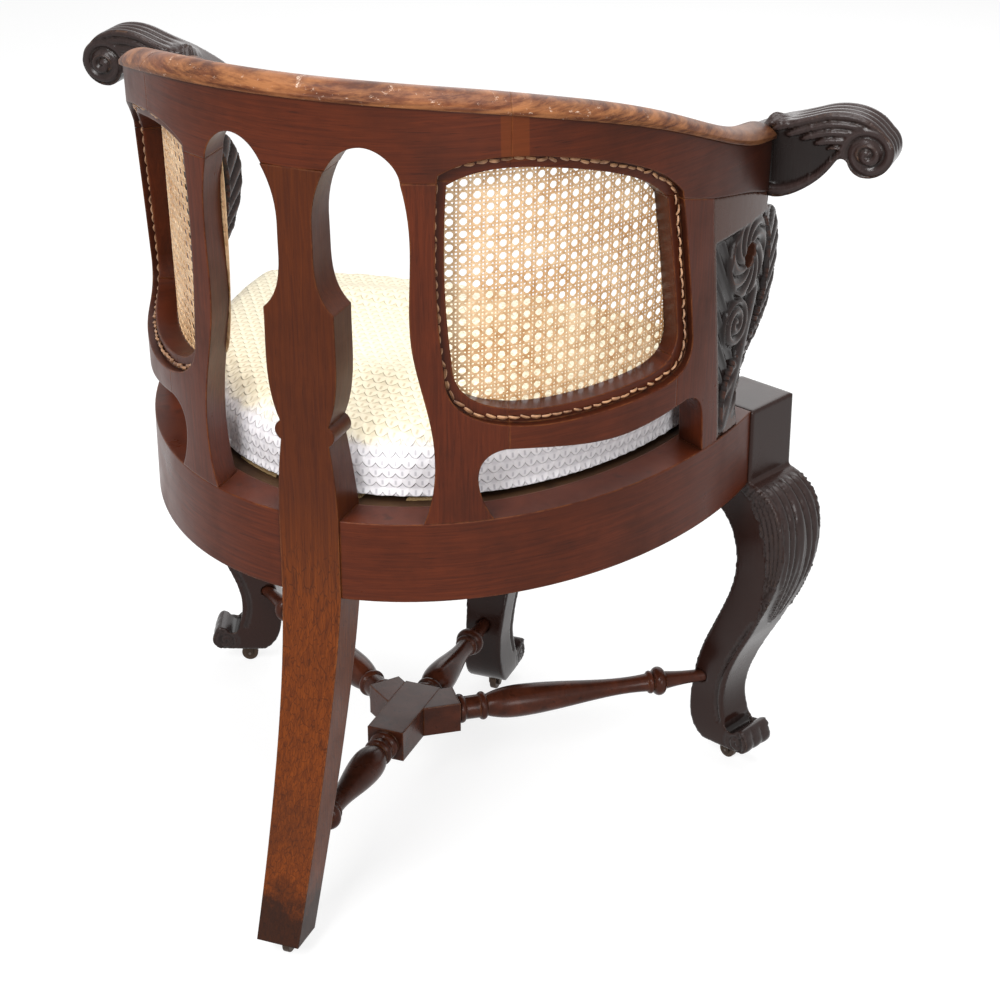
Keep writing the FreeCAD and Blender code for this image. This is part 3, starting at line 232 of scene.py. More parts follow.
def polished_wood(name, light, dark, grain, roughness, colours, wear=0.3, grime_and_shade=0.5, bare=None, hollow=0.03,
                  gloss=0.2):
    """Old polished wood: quiet grain, dark pores, cloudy polish, painted shade in corners, edges rubbed bare.
    """
    made = _, tree, shader, place = blank(name, IOR=1.4, Specular_IOR_Level=gloss)
    along = add(tree, "Mapping", {"Vector": place, "Scale": grain})
    streak = add(tree, "TexNoise", {"Vector": along, "Scale": 1.0, "Detail": 6.0, "Roughness": 0.6,
                                    "Distortion": 0.8})
    pores = add(tree, "TexNoise", {"Vector": along, "Scale": 3.7, "Detail": 2.0})
    cloud = add(tree, "TexNoise", {"Vector": place, "Scale": 11.0, "Detail": 5.0, "Roughness": 0.6})
    patch = add(tree, "TexNoise", {"Vector": place, "Scale": 60.0, "Detail": 6.0, "Roughness": 0.72})
    tone = ramp(tree, streak, 0.3, 0.7, least=0.35)
    body = blend(tree, tone, linear(dark), linear(light))
    tree.links.new(body, shader.inputs["Base Color"])
    cover(made, ramp(tree, pores, 0.62, 0.74, 0.5), colours.grime_and_shade)
    cover(made, ramp(tree, cloud, 0.46, 0.74, grime_and_shade), colours.grime_and_shade)
    # Painted shade: the grime colour laid by ambient occlusion in corners, reveals and under overhangs.
    open_sky = add(tree, "AmbientOcclusion", {"Distance": hollow}, samples=6).outputs["AO"]
    cover(made, ramp(tree, open_sky, 0.9, 0.35, 0.8), colours.grime_and_shade)
    soft = add(tree, "Bevel", {"Radius": 0.0024}, samples=6)
    face = add(tree, "NewGeometry").outputs["Normal"]
    bent = add(tree, "VectorMath", {0: soft, 1: face}, operation="DOT_PRODUCT")
    edge = ramp(tree, bent.outputs["Value"], 0.99, 0.87)
    spots = ramp(tree, patch, 0.40, 0.60, wear)
    cover(made, sums(tree, "MULTIPLY", edge, spots), bare or colours.rubbed)
    matt = ramp(tree, cloud, 0.3, 0.75, roughness + 0.25, roughness)
    tree.links.new(matt.outputs[0], shader.inputs["Roughness"])
    relief = add(tree, "Bump", {"Strength": 0.12, "Distance": 0.0006, "Height": streak, "Normal": soft})
    tree.links.new(relief.outputs[0], shader.inputs["Normal"])
    return made


def between(tree, value, low, high, soft):
    """A share that is 1 where a value lies between two ends and fades to 0 outside them."""
    rise = ramp(tree, value, low - soft, low)
    fall = ramp(tree, value, high + soft, high)
    return sums(tree, "MULTIPLY", rise, fall)


def scuffed(made, colours, amount):
    """Rubbing along the cap's length: bare and dirty streaks, then a few pale chips, most at the back, where
    they also paint a highlight.
    """
    _, tree, _, place = made
    axes = add(tree, "SeparateXYZ", {0: place}).outputs
    angle = sums(tree, "ARCTAN2", axes[0], axes[1])
    reach = add(tree, "VectorMath", {0: place}, operation="LENGTH").outputs["Value"]
    round_cap = add(tree, "CombineXYZ", {0: angle, 1: reach, 2: axes[2]})
    # Streaks about 60 mm long and 8 mm wide: the angle is in radians on a back of about 0.3 m radius.
    drawn = add(tree, "Mapping", {"Vector": round_cap, "Scale": (5.0, 120.0, 120.0)})
    rub = add(tree, "TexNoise", {"Vector": drawn, "Scale": 1.0, "Detail": 8.0, "Roughness": 0.72})
    cover(made, ramp(tree, rub, 0.44, 0.62, amount), colours.cap_bare)
    cover(made, ramp(tree, rub, 0.44, 0.32, amount), colours.mahogany_dark)
    short = add(tree, "Mapping", {"Vector": round_cap, "Scale": (22.0, 150.0, 150.0)})
    knock = add(tree, "TexNoise", {"Vector": short, "Scale": 1.0, "Detail": 9.0, "Roughness": 0.8})
    chip = ramp(tree, knock, 0.60, 0.65, amount)
    # Painted highlight: the pale chips gather towards the back, where the cap's top shows brightest.
    most = ramp(tree, axes[1], 0.0, 0.15, least=0.15)
    cover(made, sums(tree, "MULTIPLY", chip, most), colours.scuff_and_highlight)
    return made


def handled(made, colours, amount):
    """Dark polish that hands have left on the arms, deepest at their ends."""
    _, tree, _, place = made
    ahead = add(tree, "SeparateXYZ", {0: place}).outputs[1]
    ragged = add(tree, "TexNoise", {"Vector": place, "Scale": 14.0, "Detail": 5.0, "Roughness": 0.65})
    uneven = sums(tree, "MULTIPLY_ADD", ragged, 0.12, ahead)
    cover(made, ramp(tree, uneven, 0.09, -0.12, amount), colours.carved_deep)
    return made


def cut_tones(made, colours, plain):
    """Grime and painted shade in a carving's hollows, darker the deeper the cut, and the tone of the wood
    that was left uncarved.
    """
    tree = made[1]
    flat = add(tree, "Attribute", attribute_name="plain").outputs["Fac"]
    cover(made, flat, plain)
    # Painted shade, with grime: hollows darken with the depth of their cut.
    deep = add(tree, "Attribute", attribute_name="hollow").outputs["Fac"]
    cover(made, ramp(tree, deep, 0.25, 1.0, 0.85), colours.carved_deep)
    return made


def stained_foot(made, colours):
    """Dark polish and knocks at the rear leg's foot, drying cracks up the leg, redder wood above."""
    _, tree, _, place = made
    height = add(tree, "SeparateXYZ", {0: place}).outputs[2]
    ragged = add(tree, "TexNoise", {"Vector": place, "Scale": 45.0, "Detail": 6.0, "Roughness": 0.7})
    uneven = sums(tree, "MULTIPLY_ADD", ragged, -0.10, height)
    cover(made, ramp(tree, uneven, 0.03, 0.0, 0.85), colours.grime_and_shade)
    thin = add(tree, "Mapping", {"Vector": place, "Scale": (330.0, 330.0, 55.0)})
    crack = add(tree, "TexVoronoi", {"Vector": thin, "Scale": 1.0}, feature="DISTANCE_TO_EDGE")
    line = ramp(tree, crack.outputs["Distance"], 0.06, 0.0, 0.55)
    cover(made, ramp(tree, height, 0.33, 0.44, 0.6), colours.mahogany_dark)
    below = between(tree, height, 0.0, 0.36, 0.05)
    cover(made, sums(tree, "MULTIPLY", line, below), colours.grime_and_shade)
    return made


def keyed_crest(made, colours):
    """A lighter key let into the crest over its right joint."""
    _, tree, _, place = made
    axes = add(tree, "SeparateXYZ", {0: place}).outputs
    across = between(tree, axes[0], -0.181, -0.163, 0.0008)
    tall = between(tree, axes[2], 0.746, 0.789, 0.0008)
    key = sums(tree, "MULTIPLY", across, tall)
    cover(made, sums(tree, "MULTIPLY", key, 0.4), colours.leg_worn)
    return made


def new_object(name, mesh, material=None):
    """A piece in the scene with its mesh in the chair's frame."""
    obj = bpy.data.objects.new(name, mesh)
    bpy.context.scene.collection.objects.link(obj)
    if material:
        obj.data.materials.append(material)
    return obj


def paint(material, *starts):
    """Gives the CAD nodes whose names start in one of these ways their finish."""
    for name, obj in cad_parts.items():
        if not name.startswith(starts):
            continue
        if not obj.material_slots:
            obj.data.materials.append(material)
        for slot in obj.material_slots:
            slot.material = material


def mesh_of(bm, name):
    """A bmesh made into a mesh."""
    mesh = bpy.data.meshes.new(name)
    bm.to_mesh(mesh)
    bm.free()
    return mesh


def thickened(bm, name, thickness):
    """Thin strips given their thickness, faces outwards, as a mesh."""
    bmesh.ops.solidify(bm, geom=bm.faces[:], thickness=thickness)
    bmesh.ops.recalc_face_normals(bm, faces=bm.faces[:])
    return mesh_of(bm, name)


def node_copy(node, name):
    """A CAD node's copy as a piece, with its bare mesh in a bmesh whose doubles are merged."""
    obj = new_object(name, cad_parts[node].data.copy())
    obj.data.materials.clear()
    bm = bmesh.new()
    bm.from_mesh(obj.data)
    bmesh.ops.remove_doubles(bm, verts=bm.verts[:], dist=DOUBLES)
    return obj, bm


def fine_skin(obj, bm, grain):
    """Puts a bmesh back on its piece and covers it with one even skin of small faces."""
    bm.to_mesh(obj.data)
    bm.free()
    skin = obj.modifiers.new("skin", "REMESH")
    skin.mode = "VOXEL"
    skin.voxel_size = grain
    freeze(obj)


def freeze(obj):
    """Applies a piece's modifiers to its mesh."""
    graph = bpy.context.evaluated_depsgraph_get()
    mesh = bpy.data.meshes.new_from_object(obj.evaluated_get(graph))
    obj.modifiers.clear()
    obj.data = mesh


def read_points(mesh, what):
    """Vertex places or normals of a mesh as rows of three."""
    values = np.empty(len(mesh.vertices) * 3)
    mesh.vertices.foreach_get(what, values)
    return values.reshape(-1, 3)


def mark(mesh, key, values):
    """Gives each vertex of a mesh a number that its material reads."""
    numbers = values.astype(np.float32)
    mesh.attributes.new(key, "FLOAT", "POINT").data.foreach_set("value", numbers)


def smooth_shade(mesh):
    """Rounds a mesh's shading."""
    mesh.polygons.foreach_set("use_smooth", [True] * len(mesh.polygons))
    mesh.update()


def back_point(angle, up, inset):
    """A point of the leaning back, by angle, height above the seat rail and inset from the outer face."""
    lean = FLARE * up - inset
    turn = math.radians(angle)
    return Vector(((HALF_WIDTH + lean) * math.sin(turn), WIDEST_Y + (DEPTH_BEHIND + lean) * math.cos(turn),
                   RAIL_TOP + up))


def panel_axes():
    """The level direction along a cane panel, from the oval's normal at the panel's middle."""
    turn = math.radians(PANEL_MIDDLE[0])
    outward = Vector((math.sin(turn) / HALF_WIDTH, math.cos(turn) / DEPTH_BEHIND)).normalized()
    return outward.y, -outward.x


def along_panel(angle, up, inset):
    """How far along its panel's level direction a point of the back lies."""
    point = back_point(angle, up, inset)
    forward = panel_axes()
    return point.x * forward[0] + (point.y - WIDEST_Y) * forward[1]


PANEL_START = along_panel(PANEL_MIDDLE[0], PANEL_MIDDLE[1], 0.0)


def panel_outline(scale):
    """The cane opening's outline in flat (along, up) metres, grown about its middle."""
    middle, level = PANEL_MIDDLE
    grown = [((angle - middle) * scale + middle, (up - level) * scale + level) for angle, up in CANE_OUTLINE]
    return [(along_panel(angle, up, 0.0) - PANEL_START, up - level) for angle, up in grown]


def smooth_loop(points, count):
    """Evenly spaced places round a closed smooth curve through points, each with its direction."""
    ring = np.array(points)
    dense = []
    for index in range(len(ring)):
        p0, p1, p2, p3 = (ring[(index + k) % len(ring)] for k in (-1, 0, 1, 2))
        for step in np.linspace(0, 1, 24, endpoint=False):
            dense.append(0.5 * (2 * p1 + (p2 - p0) * step + (2 * p0 - 5 * p1 + 4 * p2 - p3) * step ** 2
                                + (3 * p1 - p0 - 3 * p2 + p3) * step ** 3))
    dense = np.array(dense + dense[:1])
    length = np.concatenate([[0], np.cumsum(np.linalg.norm(np.diff(dense, axis=0), axis=1))])
    places = np.linspace(0, length[-1], count, endpoint=False)
    spots = np.stack([np.interp(places, length, dense[:, axis]) for axis in (0, 1)], axis=1)
    ways = np.roll(spots, -1, axis=0) - np.roll(spots, 1, axis=0)
    return spots, ways / np.linalg.norm(ways, axis=1)[:, None], length[-1]


def on_back(flat, inset, side):
    """A flat (along, up) place, carried square through the panel to a depth below its outer face."""
    up = PANEL_MIDDLE[1] + flat[1]
    lean = FLARE * up - inset
    forward = panel_axes()
    part_x, part_y = forward[0] * (HALF_WIDTH + lean), forward[1] * (DEPTH_BEHIND + lean)
    share = (flat[0] + PANEL_START) / math.hypot(part_x, part_y)
    angle = math.degrees(math.asin(max(-1.0, min(1.0, share))) - math.atan2(part_y, part_x))
    point = back_point(angle, up, inset)
    point.x *= side
    return point


def inside_span(start, way, ring):
    """The stretch of a line that lies inside a closed outline, or None."""
    cuts = []
    for first, second in zip(ring, ring[1:] + ring[:1]):
        edge = (second[0] - first[0], second[1] - first[1])
        cross = way[0] * edge[1] - way[1] * edge[0]
        if abs(cross) < 1e-12:
            continue
        gap = (first[0] - start[0], first[1] - start[1])
        share = (gap[0] * way[1] - gap[1] * way[0]) / cross
        if 0.0 <= share < 1.0:
            cuts.append((gap[0] * edge[1] - gap[1] * edge[0]) / cross)
    return (min(cuts), max(cuts)) if len(cuts) > 1 else None


def strand(bm, start, way, span, width, lift, side):
    """One flat cane strand across the panel; lift gives how far it stands off the sheet along its length."""
    count = max(3, int((span[1] - span[0]) / 0.005))
    made = bmesh.ops.create_grid(bm, x_segments=count, y_segments=1, size=0.5)["verts"]
    across = (-way[1], way[0])
    for vert in made:
        along = span[0] + (span[1] - span[0]) * (vert.co.x + 0.5)
        flat = [start[k] + way[k] * along + across[k] * width * vert.co.y for k in (0, 1)]
        vert.co = on_back(flat, BACK_THICK - 0.0009 + lift(along), side)


def weave(name, side, sizes):
    """The six-way open weave: pairs upright, pairs level, and two sets of single diagonals."""
    bm = bmesh.new()
    ring = [tuple(spot) for spot in smooth_loop(panel_outline(WEAVE_SCALE), OUTLINE_STEPS)[0]]
    pitch = sizes.cane_pitch
    pair = pitch * 0.145
    reach = int(0.22 / pitch)
    slant = math.sqrt(0.5)
    for number in range(-reach, reach + 1):
        for offset in (-pair, pair):
            wave = 1.0 if offset > 0 else -1.0
            lines = (((number * pitch + offset, 0.0), (0.0, 1.0), 0.0003),
                     ((0.0, number * pitch + offset), (1.0, 0.0), -0.0003))
            for start, way, layer in lines:
                span = inside_span(start, way, ring)
                if span:
                    strand(bm, start, way, span, sizes.cane_width,
                           lambda s, l=layer, w=wave: l + 0.00025 * w * math.cos(math.pi * s / pitch), side)
        for turn in (1.0, -1.0):
            start = ((number + 0.5) * pitch, 0.0)
            span = inside_span(start, (slant, slant * turn), ring)
            if span:
                strand(bm, start, (slant, slant * turn), span, sizes.cane_width * 1.1,
                       lambda s, t=turn: 0.0005 * t * math.cos(math.pi * s / (pitch * slant)), side)
    return thickened(bm, name, 0.0005)


def binding(name, side):
    """The flat strip that covers the cane's ends on the inner face."""
    bm = bmesh.new()
    spots, ways, _ = smooth_loop(panel_outline(BINDING_SCALE), OUTLINE_STEPS)
    made = bmesh.ops.create_grid(bm, x_segments=OUTLINE_STEPS, y_segments=1, size=0.5)["verts"]
    for vert in made:
        index = int(round((vert.co.x + 0.5) * OUTLINE_STEPS)) % OUTLINE_STEPS
        spot, way = spots[index], ways[index]
        flat = (spot[0] - way[1] * 0.005 * vert.co.y, spot[1] + way[0] * 0.005 * vert.co.y)
        vert.co = on_back(flat, BACK_THICK + 0.0006, side)
    bmesh.ops.remove_doubles(bm, verts=bm.verts[:], dist=1e-6)
    return thickened(bm, name, 0.0007)


def lacing(name, side, sizes, seed):
    """The row of short loops that ties the cane, in the groove round the back of the opening."""
    bm = bmesh.new()
    random = np.random.RandomState(seed)
    outline = panel_outline(LACING_SCALE)
    count = int(smooth_loop(outline, 10)[2] / sizes.lace_step)
    spots, ways, _ = smooth_loop(outline, count)
    for spot, way in zip(spots, ways):
        turn = random.normal(0.0, 0.2)
        way = (way[0] * math.cos(turn) - way[1] * math.sin(turn),
               way[0] * math.sin(turn) + way[1] * math.cos(turn))
        long = sizes.lace_length * random.uniform(0.85, 1.12)
        wide = sizes.cane_width * random.uniform(1.5, 2.1)
        shift = random.normal(0.0, 0.0006)
        arch = random.uniform(0.0012, 0.0022)
        made = bmesh.ops.create_grid(bm, x_segments=6, y_segments=2, size=0.5)["verts"]
        for vert in made:
            along = long * vert.co.x
            across = shift + wide * vert.co.y * (1.0 - 0.35 * abs(vert.co.x * 2) ** 3)
            flat = (spot[0] + way[0] * along - way[1] * across, spot[1] + way[1] * along + way[0] * across)
            rise = arch * math.cos(math.pi * vert.co.x) - 0.0010 * (vert.co.y * 2) ** 2
            vert.co = on_back(flat, LACING_DEPTH - 0.0008 - rise, side)
    return thickened(bm, name, 0.0008)


def fade(value, low, high):
    """0 below low and 1 above high, smooth between."""
    share = np.clip((value - low) / (high - low), 0.0, 1.0)
    return share * share * (3.0 - 2.0 * share)


def arch(share):
    """Height of a half round of radius 1, by the distance from its middle."""
    return np.sqrt(np.clip(1.0 - share ** 2, 0.0, 1.0))


def whole_turns(angle):
    """An angle as a share of a whole turn."""
    return np.mod(angle, 2 * np.pi) / (2 * np.pi)


def roll(share):
    """A row of round bands with sharp hollows between: 0 on the crown of a band, -1 in a hollow."""
    part = share - np.floor(share)
    return arch(2.0 * part - 1.0) - 1.0


def reach_by(values, key, step, take_max):
    """The largest or smallest of values among points whose keys fall in the same step, for each point."""
    index = np.floor((key - key.min()) / step).astype(int)
    found = np.full(index.max() + 1, -1e9 if take_max else 1e9)
    (np.maximum if take_max else np.minimum).at(found, index, values)
    return found[index]


def carved_skin(node, name, grain, rounds, depth_at, material, shift=None):
    """A CAD node's copy as one fine skin, softened, then cut to the depth a carving gives at each point."""
    obj, bm = node_copy(node, name)
    fine_skin(obj, bm, grain)
    bm = bmesh.new()
    bm.from_mesh(obj.data)
    for _ in range(rounds):
        bmesh.ops.smooth_vert(bm, verts=bm.verts[:], factor=0.5, use_axis_x=True, use_axis_y=True,
                              use_axis_z=True)
    bm.normal_update()
    bm.to_mesh(obj.data)
    bm.free()
    places, normals = read_points(obj.data, "co"), read_points(obj.data, "normal")
    cut = depth_at(places, normals)
    tones = {"hollow": np.clip(-cut / GRIME_AND_SHADE_CUT, 0.0, 1.0), "plain": np.abs(cut) < NO_CUT}
    for key, values in tones.items():
        mark(obj.data, key, values)
    moved = places + normals * cut[:, None] + (shift(places) if shift else 0.0)
    obj.data.vertices.foreach_set("co", moved.ravel())
    smooth_shade(obj.data)
    obj.data.materials.append(material)
    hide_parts(node)
    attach(obj, CHAIR)


def hand_carving(side, depth):
    """Depth of the carving on a scroll hand: a volute, leaf flutes that roll over it and a tongue below."""
    def depth_at(places, normals):
        x, y, z = places[:, 0] * side, places[:, 1], places[:, 2]
        out, up = x - VOLUTE[0], z - VOLUTE[1]
        radius = np.hypot(out, up)
        turn = whole_turns(np.pi / 2 - np.arctan2(up, out))
        volute = roll((VOLUTE_RADIUS + 0.004 - radius) / 0.0115 - turn) * 1.35
        rise = z - reach_by(z, x, 0.003, False)
        drop = reach_by(z, x, 0.003, True) - z
        flute = drop / 0.0090
        tip = 0.302 + 0.013 * np.floor(flute) + 0.010 * (2.0 * (flute - np.floor(flute)) - 1.0) ** 2
        leaf = fade(x, tip, tip + 0.004) * (drop < 0.0405)
        flutes = 0.15 + roll(flute) * 1.3
        panel = -1.25 * fade(x, 0.300, 0.304)
        tongue = arch((rise - 0.0060) / 0.0062) - 1.0
        body = np.where(rise < 0.0120, np.maximum(tongue * 1.3, panel), panel)
        body = body * (1.0 - leaf) + flutes * leaf
        near = fade(radius, VOLUTE_RADIUS + 0.001, VOLUTE_RADIUS + 0.005)
        face = fade(np.abs(normals[:, 1]), 0.45, 0.8)
        top = fade(normals[:, 2] + np.maximum(out, 0.0) * 20.0, 0.35, 0.8) * (1.0 - face)
        ribs = roll((y - ARM_END_Y) / HAND_DEPTH * 4.0) * fade(x, 0.312, 0.335)
        knot = np.exp(-(((x - 0.306) / 0.009) ** 2 + ((y - ARM_END_Y + 0.012) / 0.011) ** 2))
        knot = knot * (normals[:, 2] > 0.2) * (0.007 + 0.0015 * np.sin(900.0 * (x + y)))
        return depth * (face * (near * body + (1.0 - near) * volute) + top * ribs * 0.8) + knot
    return depth_at


def hand_worn(side):
    """How far a scroll hand has shrunk towards its middle: carving and hands took wood from all its edges."""
    def shift(places):
        share = fade(places[:, 0] * side, 0.303, 0.345)[:, None]
        middle = np.array([HAND_MIDDLE[0] * side, 0.0, HAND_MIDDLE[1]])
        return (middle - places) * np.array([0.085, 0.0, 0.13]) * share
    return shift


def leg_carving(node, depth):
    """Depth of the carving on a cabriole leg: a leaf over the knee and its sides, a bead, a curled toe."""
    middle_x, middle_y, turn = LEGS[node]
    turn = math.radians(turn)

    def depth_at(places, normals):
        dx, dy, z = places[:, 0] - middle_x, places[:, 1] - middle_y, places[:, 2]
        out = dx * math.cos(turn) + dy * math.sin(turn)
        across = -dx * math.sin(turn) + dy * math.cos(turn)
        facing = normals[:, 0] * math.cos(turn) + normals[:, 1] * math.sin(turn)
        beside = np.abs(-normals[:, 0] * math.sin(turn) + normals[:, 1] * math.cos(turn))
        below = fade(RAIL_BOTTOM - 0.002 - z, 0.0, 0.004)
        outer = reach_by(out, z, 0.004, True)
        half = reach_by(np.abs(across), z, 0.004, True)
        wide = across / np.maximum(half, 1e-4)
        fall = np.clip((RAIL_BOTTOM - z) / 0.165, 0.0, 1.0)
        tip = np.clip(1.0 - fall ** 2.4, 0.0, 1.0) ** 0.55
        lobe = tip * (0.85 + 0.15 * np.abs(np.cos(fall * 3.5 * np.pi)))
        leaf = fade(lobe - np.abs(wide), 0.0, 0.10) * (fall < 1.0)
        veins = roll(3.2 * np.abs(wide) / np.maximum(tip, 0.25) - 1.3 * fall + 0.5)
        rib = np.exp(-(wide / 0.10) ** 2)
        knee = leaf * (0.5 + 1.1 * veins * (1.0 - rib) + 0.35 * rib)
        knee = knee - 0.35 * (1.0 - leaf) * fade(0.25 - z, -0.02, 0.02)
        front = fade(facing, 0.15, 0.55) * below * fade(z, 0.165, 0.19)
        inset = outer - out
        reach = 0.032 * np.clip((z - 0.176) / 0.16, 0.0, 1.0) ** 0.8
        ragged = reach * (0.88 + 0.24 * (1.0 + roll(z / 0.021 + inset * 22.0)))
        ribs = 0.45 + 1.2 * roll(4.2 * inset / np.maximum(reach, 0.006) + 9.0 * (z - 0.18))
        flank = fade(ragged - inset, 0.0, 0.0022) * fade(beside, 0.5, 0.8) * below * ribs
        bead = -np.exp(-((inset - 0.0085) / 0.0016) ** 2) * fade(beside, 0.5, 0.8) * fade(0.19 - z, 0.0, 0.02)
        toe_out, toe_up = out - 0.022, z - 0.034
        radius = np.hypot(toe_out, toe_up)
        swing = whole_turns(np.pi / 2 - np.arctan2(toe_up, toe_out))
        curl = roll((0.014 - radius) / 0.007 - swing) * fade(0.017 - radius, 0.0, 0.004)
        curl = curl * fade(beside, 0.4, 0.75)
        low = fade(0.062 - z, 0.0, 0.006)
        hook = np.exp(-((out - 0.028) / 0.006) ** 2) - 1.3 * np.exp(-((out - 0.012) / 0.006) ** 2)
        hook = hook * fade(normals[:, 2], 0.3, 0.8) * low
        ridge = roll(wide * 1.5 + 0.5) * fade(facing, 0.3, 0.7) * low * (out > 0.014)
        return depth * (front * knee + flank + 0.6 * bead + 0.9 * curl + hook + 0.6 * ridge)
    return depth_at


def support_frame(side):
    """Middle, forward and outward directions of an arm support."""
    turn = math.radians(SUPPORT_ANGLE)
    middle = np.array(back_point(SUPPORT_ANGLE, 0.0, 0.0))
    outward = np.array([math.sin(turn) / HALF_WIDTH, math.cos(turn) / DEPTH_BEHIND, 0.0])
    outward /= np.linalg.norm(outward)
    forward = np.array([outward[1], -outward[0], 0.0])
    flip = np.array([side, 1.0, 1.0])
    return middle * flip, forward * flip, outward * flip


def support_carving(side, depth):
    """Depth of the carving on an arm support: leaves round its eye, a curl, a stem and a leafy edge."""
    middle, forward, outward = support_frame(side)

    def depth_at(places, normals):
        along = (places - middle) @ forward
        up = places[:, 2] - RAIL_TOP
        face = fade(np.abs(normals @ outward), 0.45, 0.8)
        front = reach_by(along, up, 0.004, True)
        rear = reach_by(along, up, 0.004, False)
        field = fade(0.205 - up, 0.0, 0.006) * fade(along - rear, 0.004, 0.009)
        eye_along, eye_up = along - 0.022, up - 0.170
        eye = np.hypot(eye_along, eye_up)
        spin = np.arctan2(eye_up, eye_along)
        petals = roll(9.0 * spin / (2 * np.pi) + eye * 62.0)
        petals = petals * fade(eye, 0.011, 0.016) * fade(0.040 - eye, 0.0, 0.006)
        rosette = fade(0.042 - eye, 0.0, 0.004)
        curl_along, curl_up = along - 0.002, up - 0.108
        curl_radius = np.hypot(curl_along, curl_up)
        curl_turn = whole_turns(np.arctan2(curl_up, curl_along))
        curl = roll((0.026 - curl_radius) / 0.0105 + curl_turn)
        curled = fade(0.026 - curl_radius, 0.0, 0.004)
        lean = np.array([0.42, 0.907])
        stem_along, stem_up = along + 0.014, up - 0.010
        off = stem_along * lean[1] - stem_up * lean[0]
        run = stem_along * lean[0] + stem_up * lean[1]
        stem = arch(off / 0.009)
        stem = stem * fade(run, -0.02, 0.0) * fade(0.150 - run, 0.0, 0.02)
        edge = front - along
        tips = roll((up + edge * 0.9) / 0.019) * fade(0.030 - edge, 0.0, 0.006) * fade(up, 0.01, 0.03)
        ground = -1.1 + 0.25 * np.sin(along * 420.0 + up * 260.0)
        cut = np.where(edge < 0.030, tips * 1.1, ground)
        cut = cut * (1.0 - rosette) + rosette * petals * 1.2
        cut = cut * (1.0 - curled) + curled * curl * 1.2
        cut = np.maximum(cut, stem * 1.25 - 1.1)
        return depth * 1.3 * face * field * cut
    return depth_at


def cushion_span(angle):
    """Distance round the cushion's side, by angle about its middle, from its plan."""
    turns = np.radians(np.linspace(-90.0, 90.0, 181))
    rear = np.stack([CUSHION_HALF * np.sin(turns), WIDEST_Y + CUSHION_BEHIND * np.cos(turns)], axis=1)
    sweep = np.linspace(CUSHION_HALF, -CUSHION_HALF, 121)
    drop = 1.0 - arch(sweep / CUSHION_BOW)
    bow = WIDEST_Y - CUSHION_AHEAD + drop * CUSHION_BOW
    ring = np.concatenate([rear, np.stack([sweep, bow], axis=1), rear[:1]])
    length = np.concatenate([[0], np.cumsum(np.linalg.norm(np.diff(ring, axis=0), axis=1))])
    bearing = np.unwrap(np.arctan2(ring[:, 0], ring[:, 1] - CUSHION_MIDDLE_Y))
    return np.interp(np.mod(angle - bearing[0], 2 * np.pi) + bearing[0], bearing, length)


def fill_cushion(sizes):
    """The cushion: the CAD form drawn in a little, then blown up by its filling."""
    obj, bm = node_copy("seat_cushion", "cushion")
    foot = min(vert.co.z for vert in bm.verts)
    middle = Vector((0.0, CUSHION_MIDDLE_Y, foot))
    for vert in bm.verts:
        share = 1.0 - 0.015 * min(1.0, (vert.co.z - foot) / 0.02)
        vert.co = middle + Vector(((vert.co.x - middle.x) * share, (vert.co.y - middle.y) * share,
                                   (vert.co.z - foot) * 0.95))
    fine_skin(obj, bm, sizes.cushion_grain)
    before = read_points(obj.data, "co")
    cloth = obj.modifiers.new("filling", "CLOTH")
    cloth.settings.use_pressure = True
    cloth.settings.uniform_pressure_force = sizes.filling_pressure
    cloth.settings.effector_weights.gravity = 0.0
    cloth.point_cache.frame_start = 1
    cloth.point_cache.frame_end = sizes.filling_frames
    scene = bpy.context.scene
    for number in range(1, sizes.filling_frames + 1):
        scene.frame_set(number)
    freeze(obj)
    scene.frame_set(1)
    move = read_points(obj.data, "co") - before
    size = np.linalg.norm(move, axis=1)
    move *= np.minimum(1.0, sizes.cushion_swell / np.maximum(size, 1e-9))[:, None]
    move *= fade(before[:, 2], foot + 0.0002, foot + 0.005)[:, None]
    before = before + move
    before[:, 2] = np.maximum(before[:, 2], foot)
    obj.data.vertices.foreach_set("co", before.ravel())
    return obj, before, foot


def lay_cloth(obj, places, foot):
    """Marks on the cushion how its cloth lies: round and up the side, flat over the top."""
    mesh = obj.data
    normals = read_points(mesh, "normal")
    top = fade(normals[:, 2], 0.45, 0.85)
    span = cushion_span(np.arctan2(places[:, 0], places[:, 1] - CUSHION_MIDDLE_Y))
    mark(mesh, "top_share", top)
    layer = mesh.uv_layers.new(name="cloth")
    corner = np.empty(len(mesh.loops), dtype=np.int32)
    mesh.loops.foreach_get("vertex_index", corner)
    side = np.stack([span, places[:, 2] - foot], axis=1)[corner]
    ends = np.array([polygon.loop_start for polygon in mesh.polygons] + [len(mesh.loops)])
    for first, last in zip(ends[:-1], ends[1:]):
        if np.ptp(side[first:last, 0]) > 0.5:
            side[first:last, 0] = np.where(side[first:last, 0] < 0.5, side[first:last, 0] + span.max(),
                                           side[first:last, 0])
    layer.data.foreach_set("uv", side.astype(np.float32).ravel())


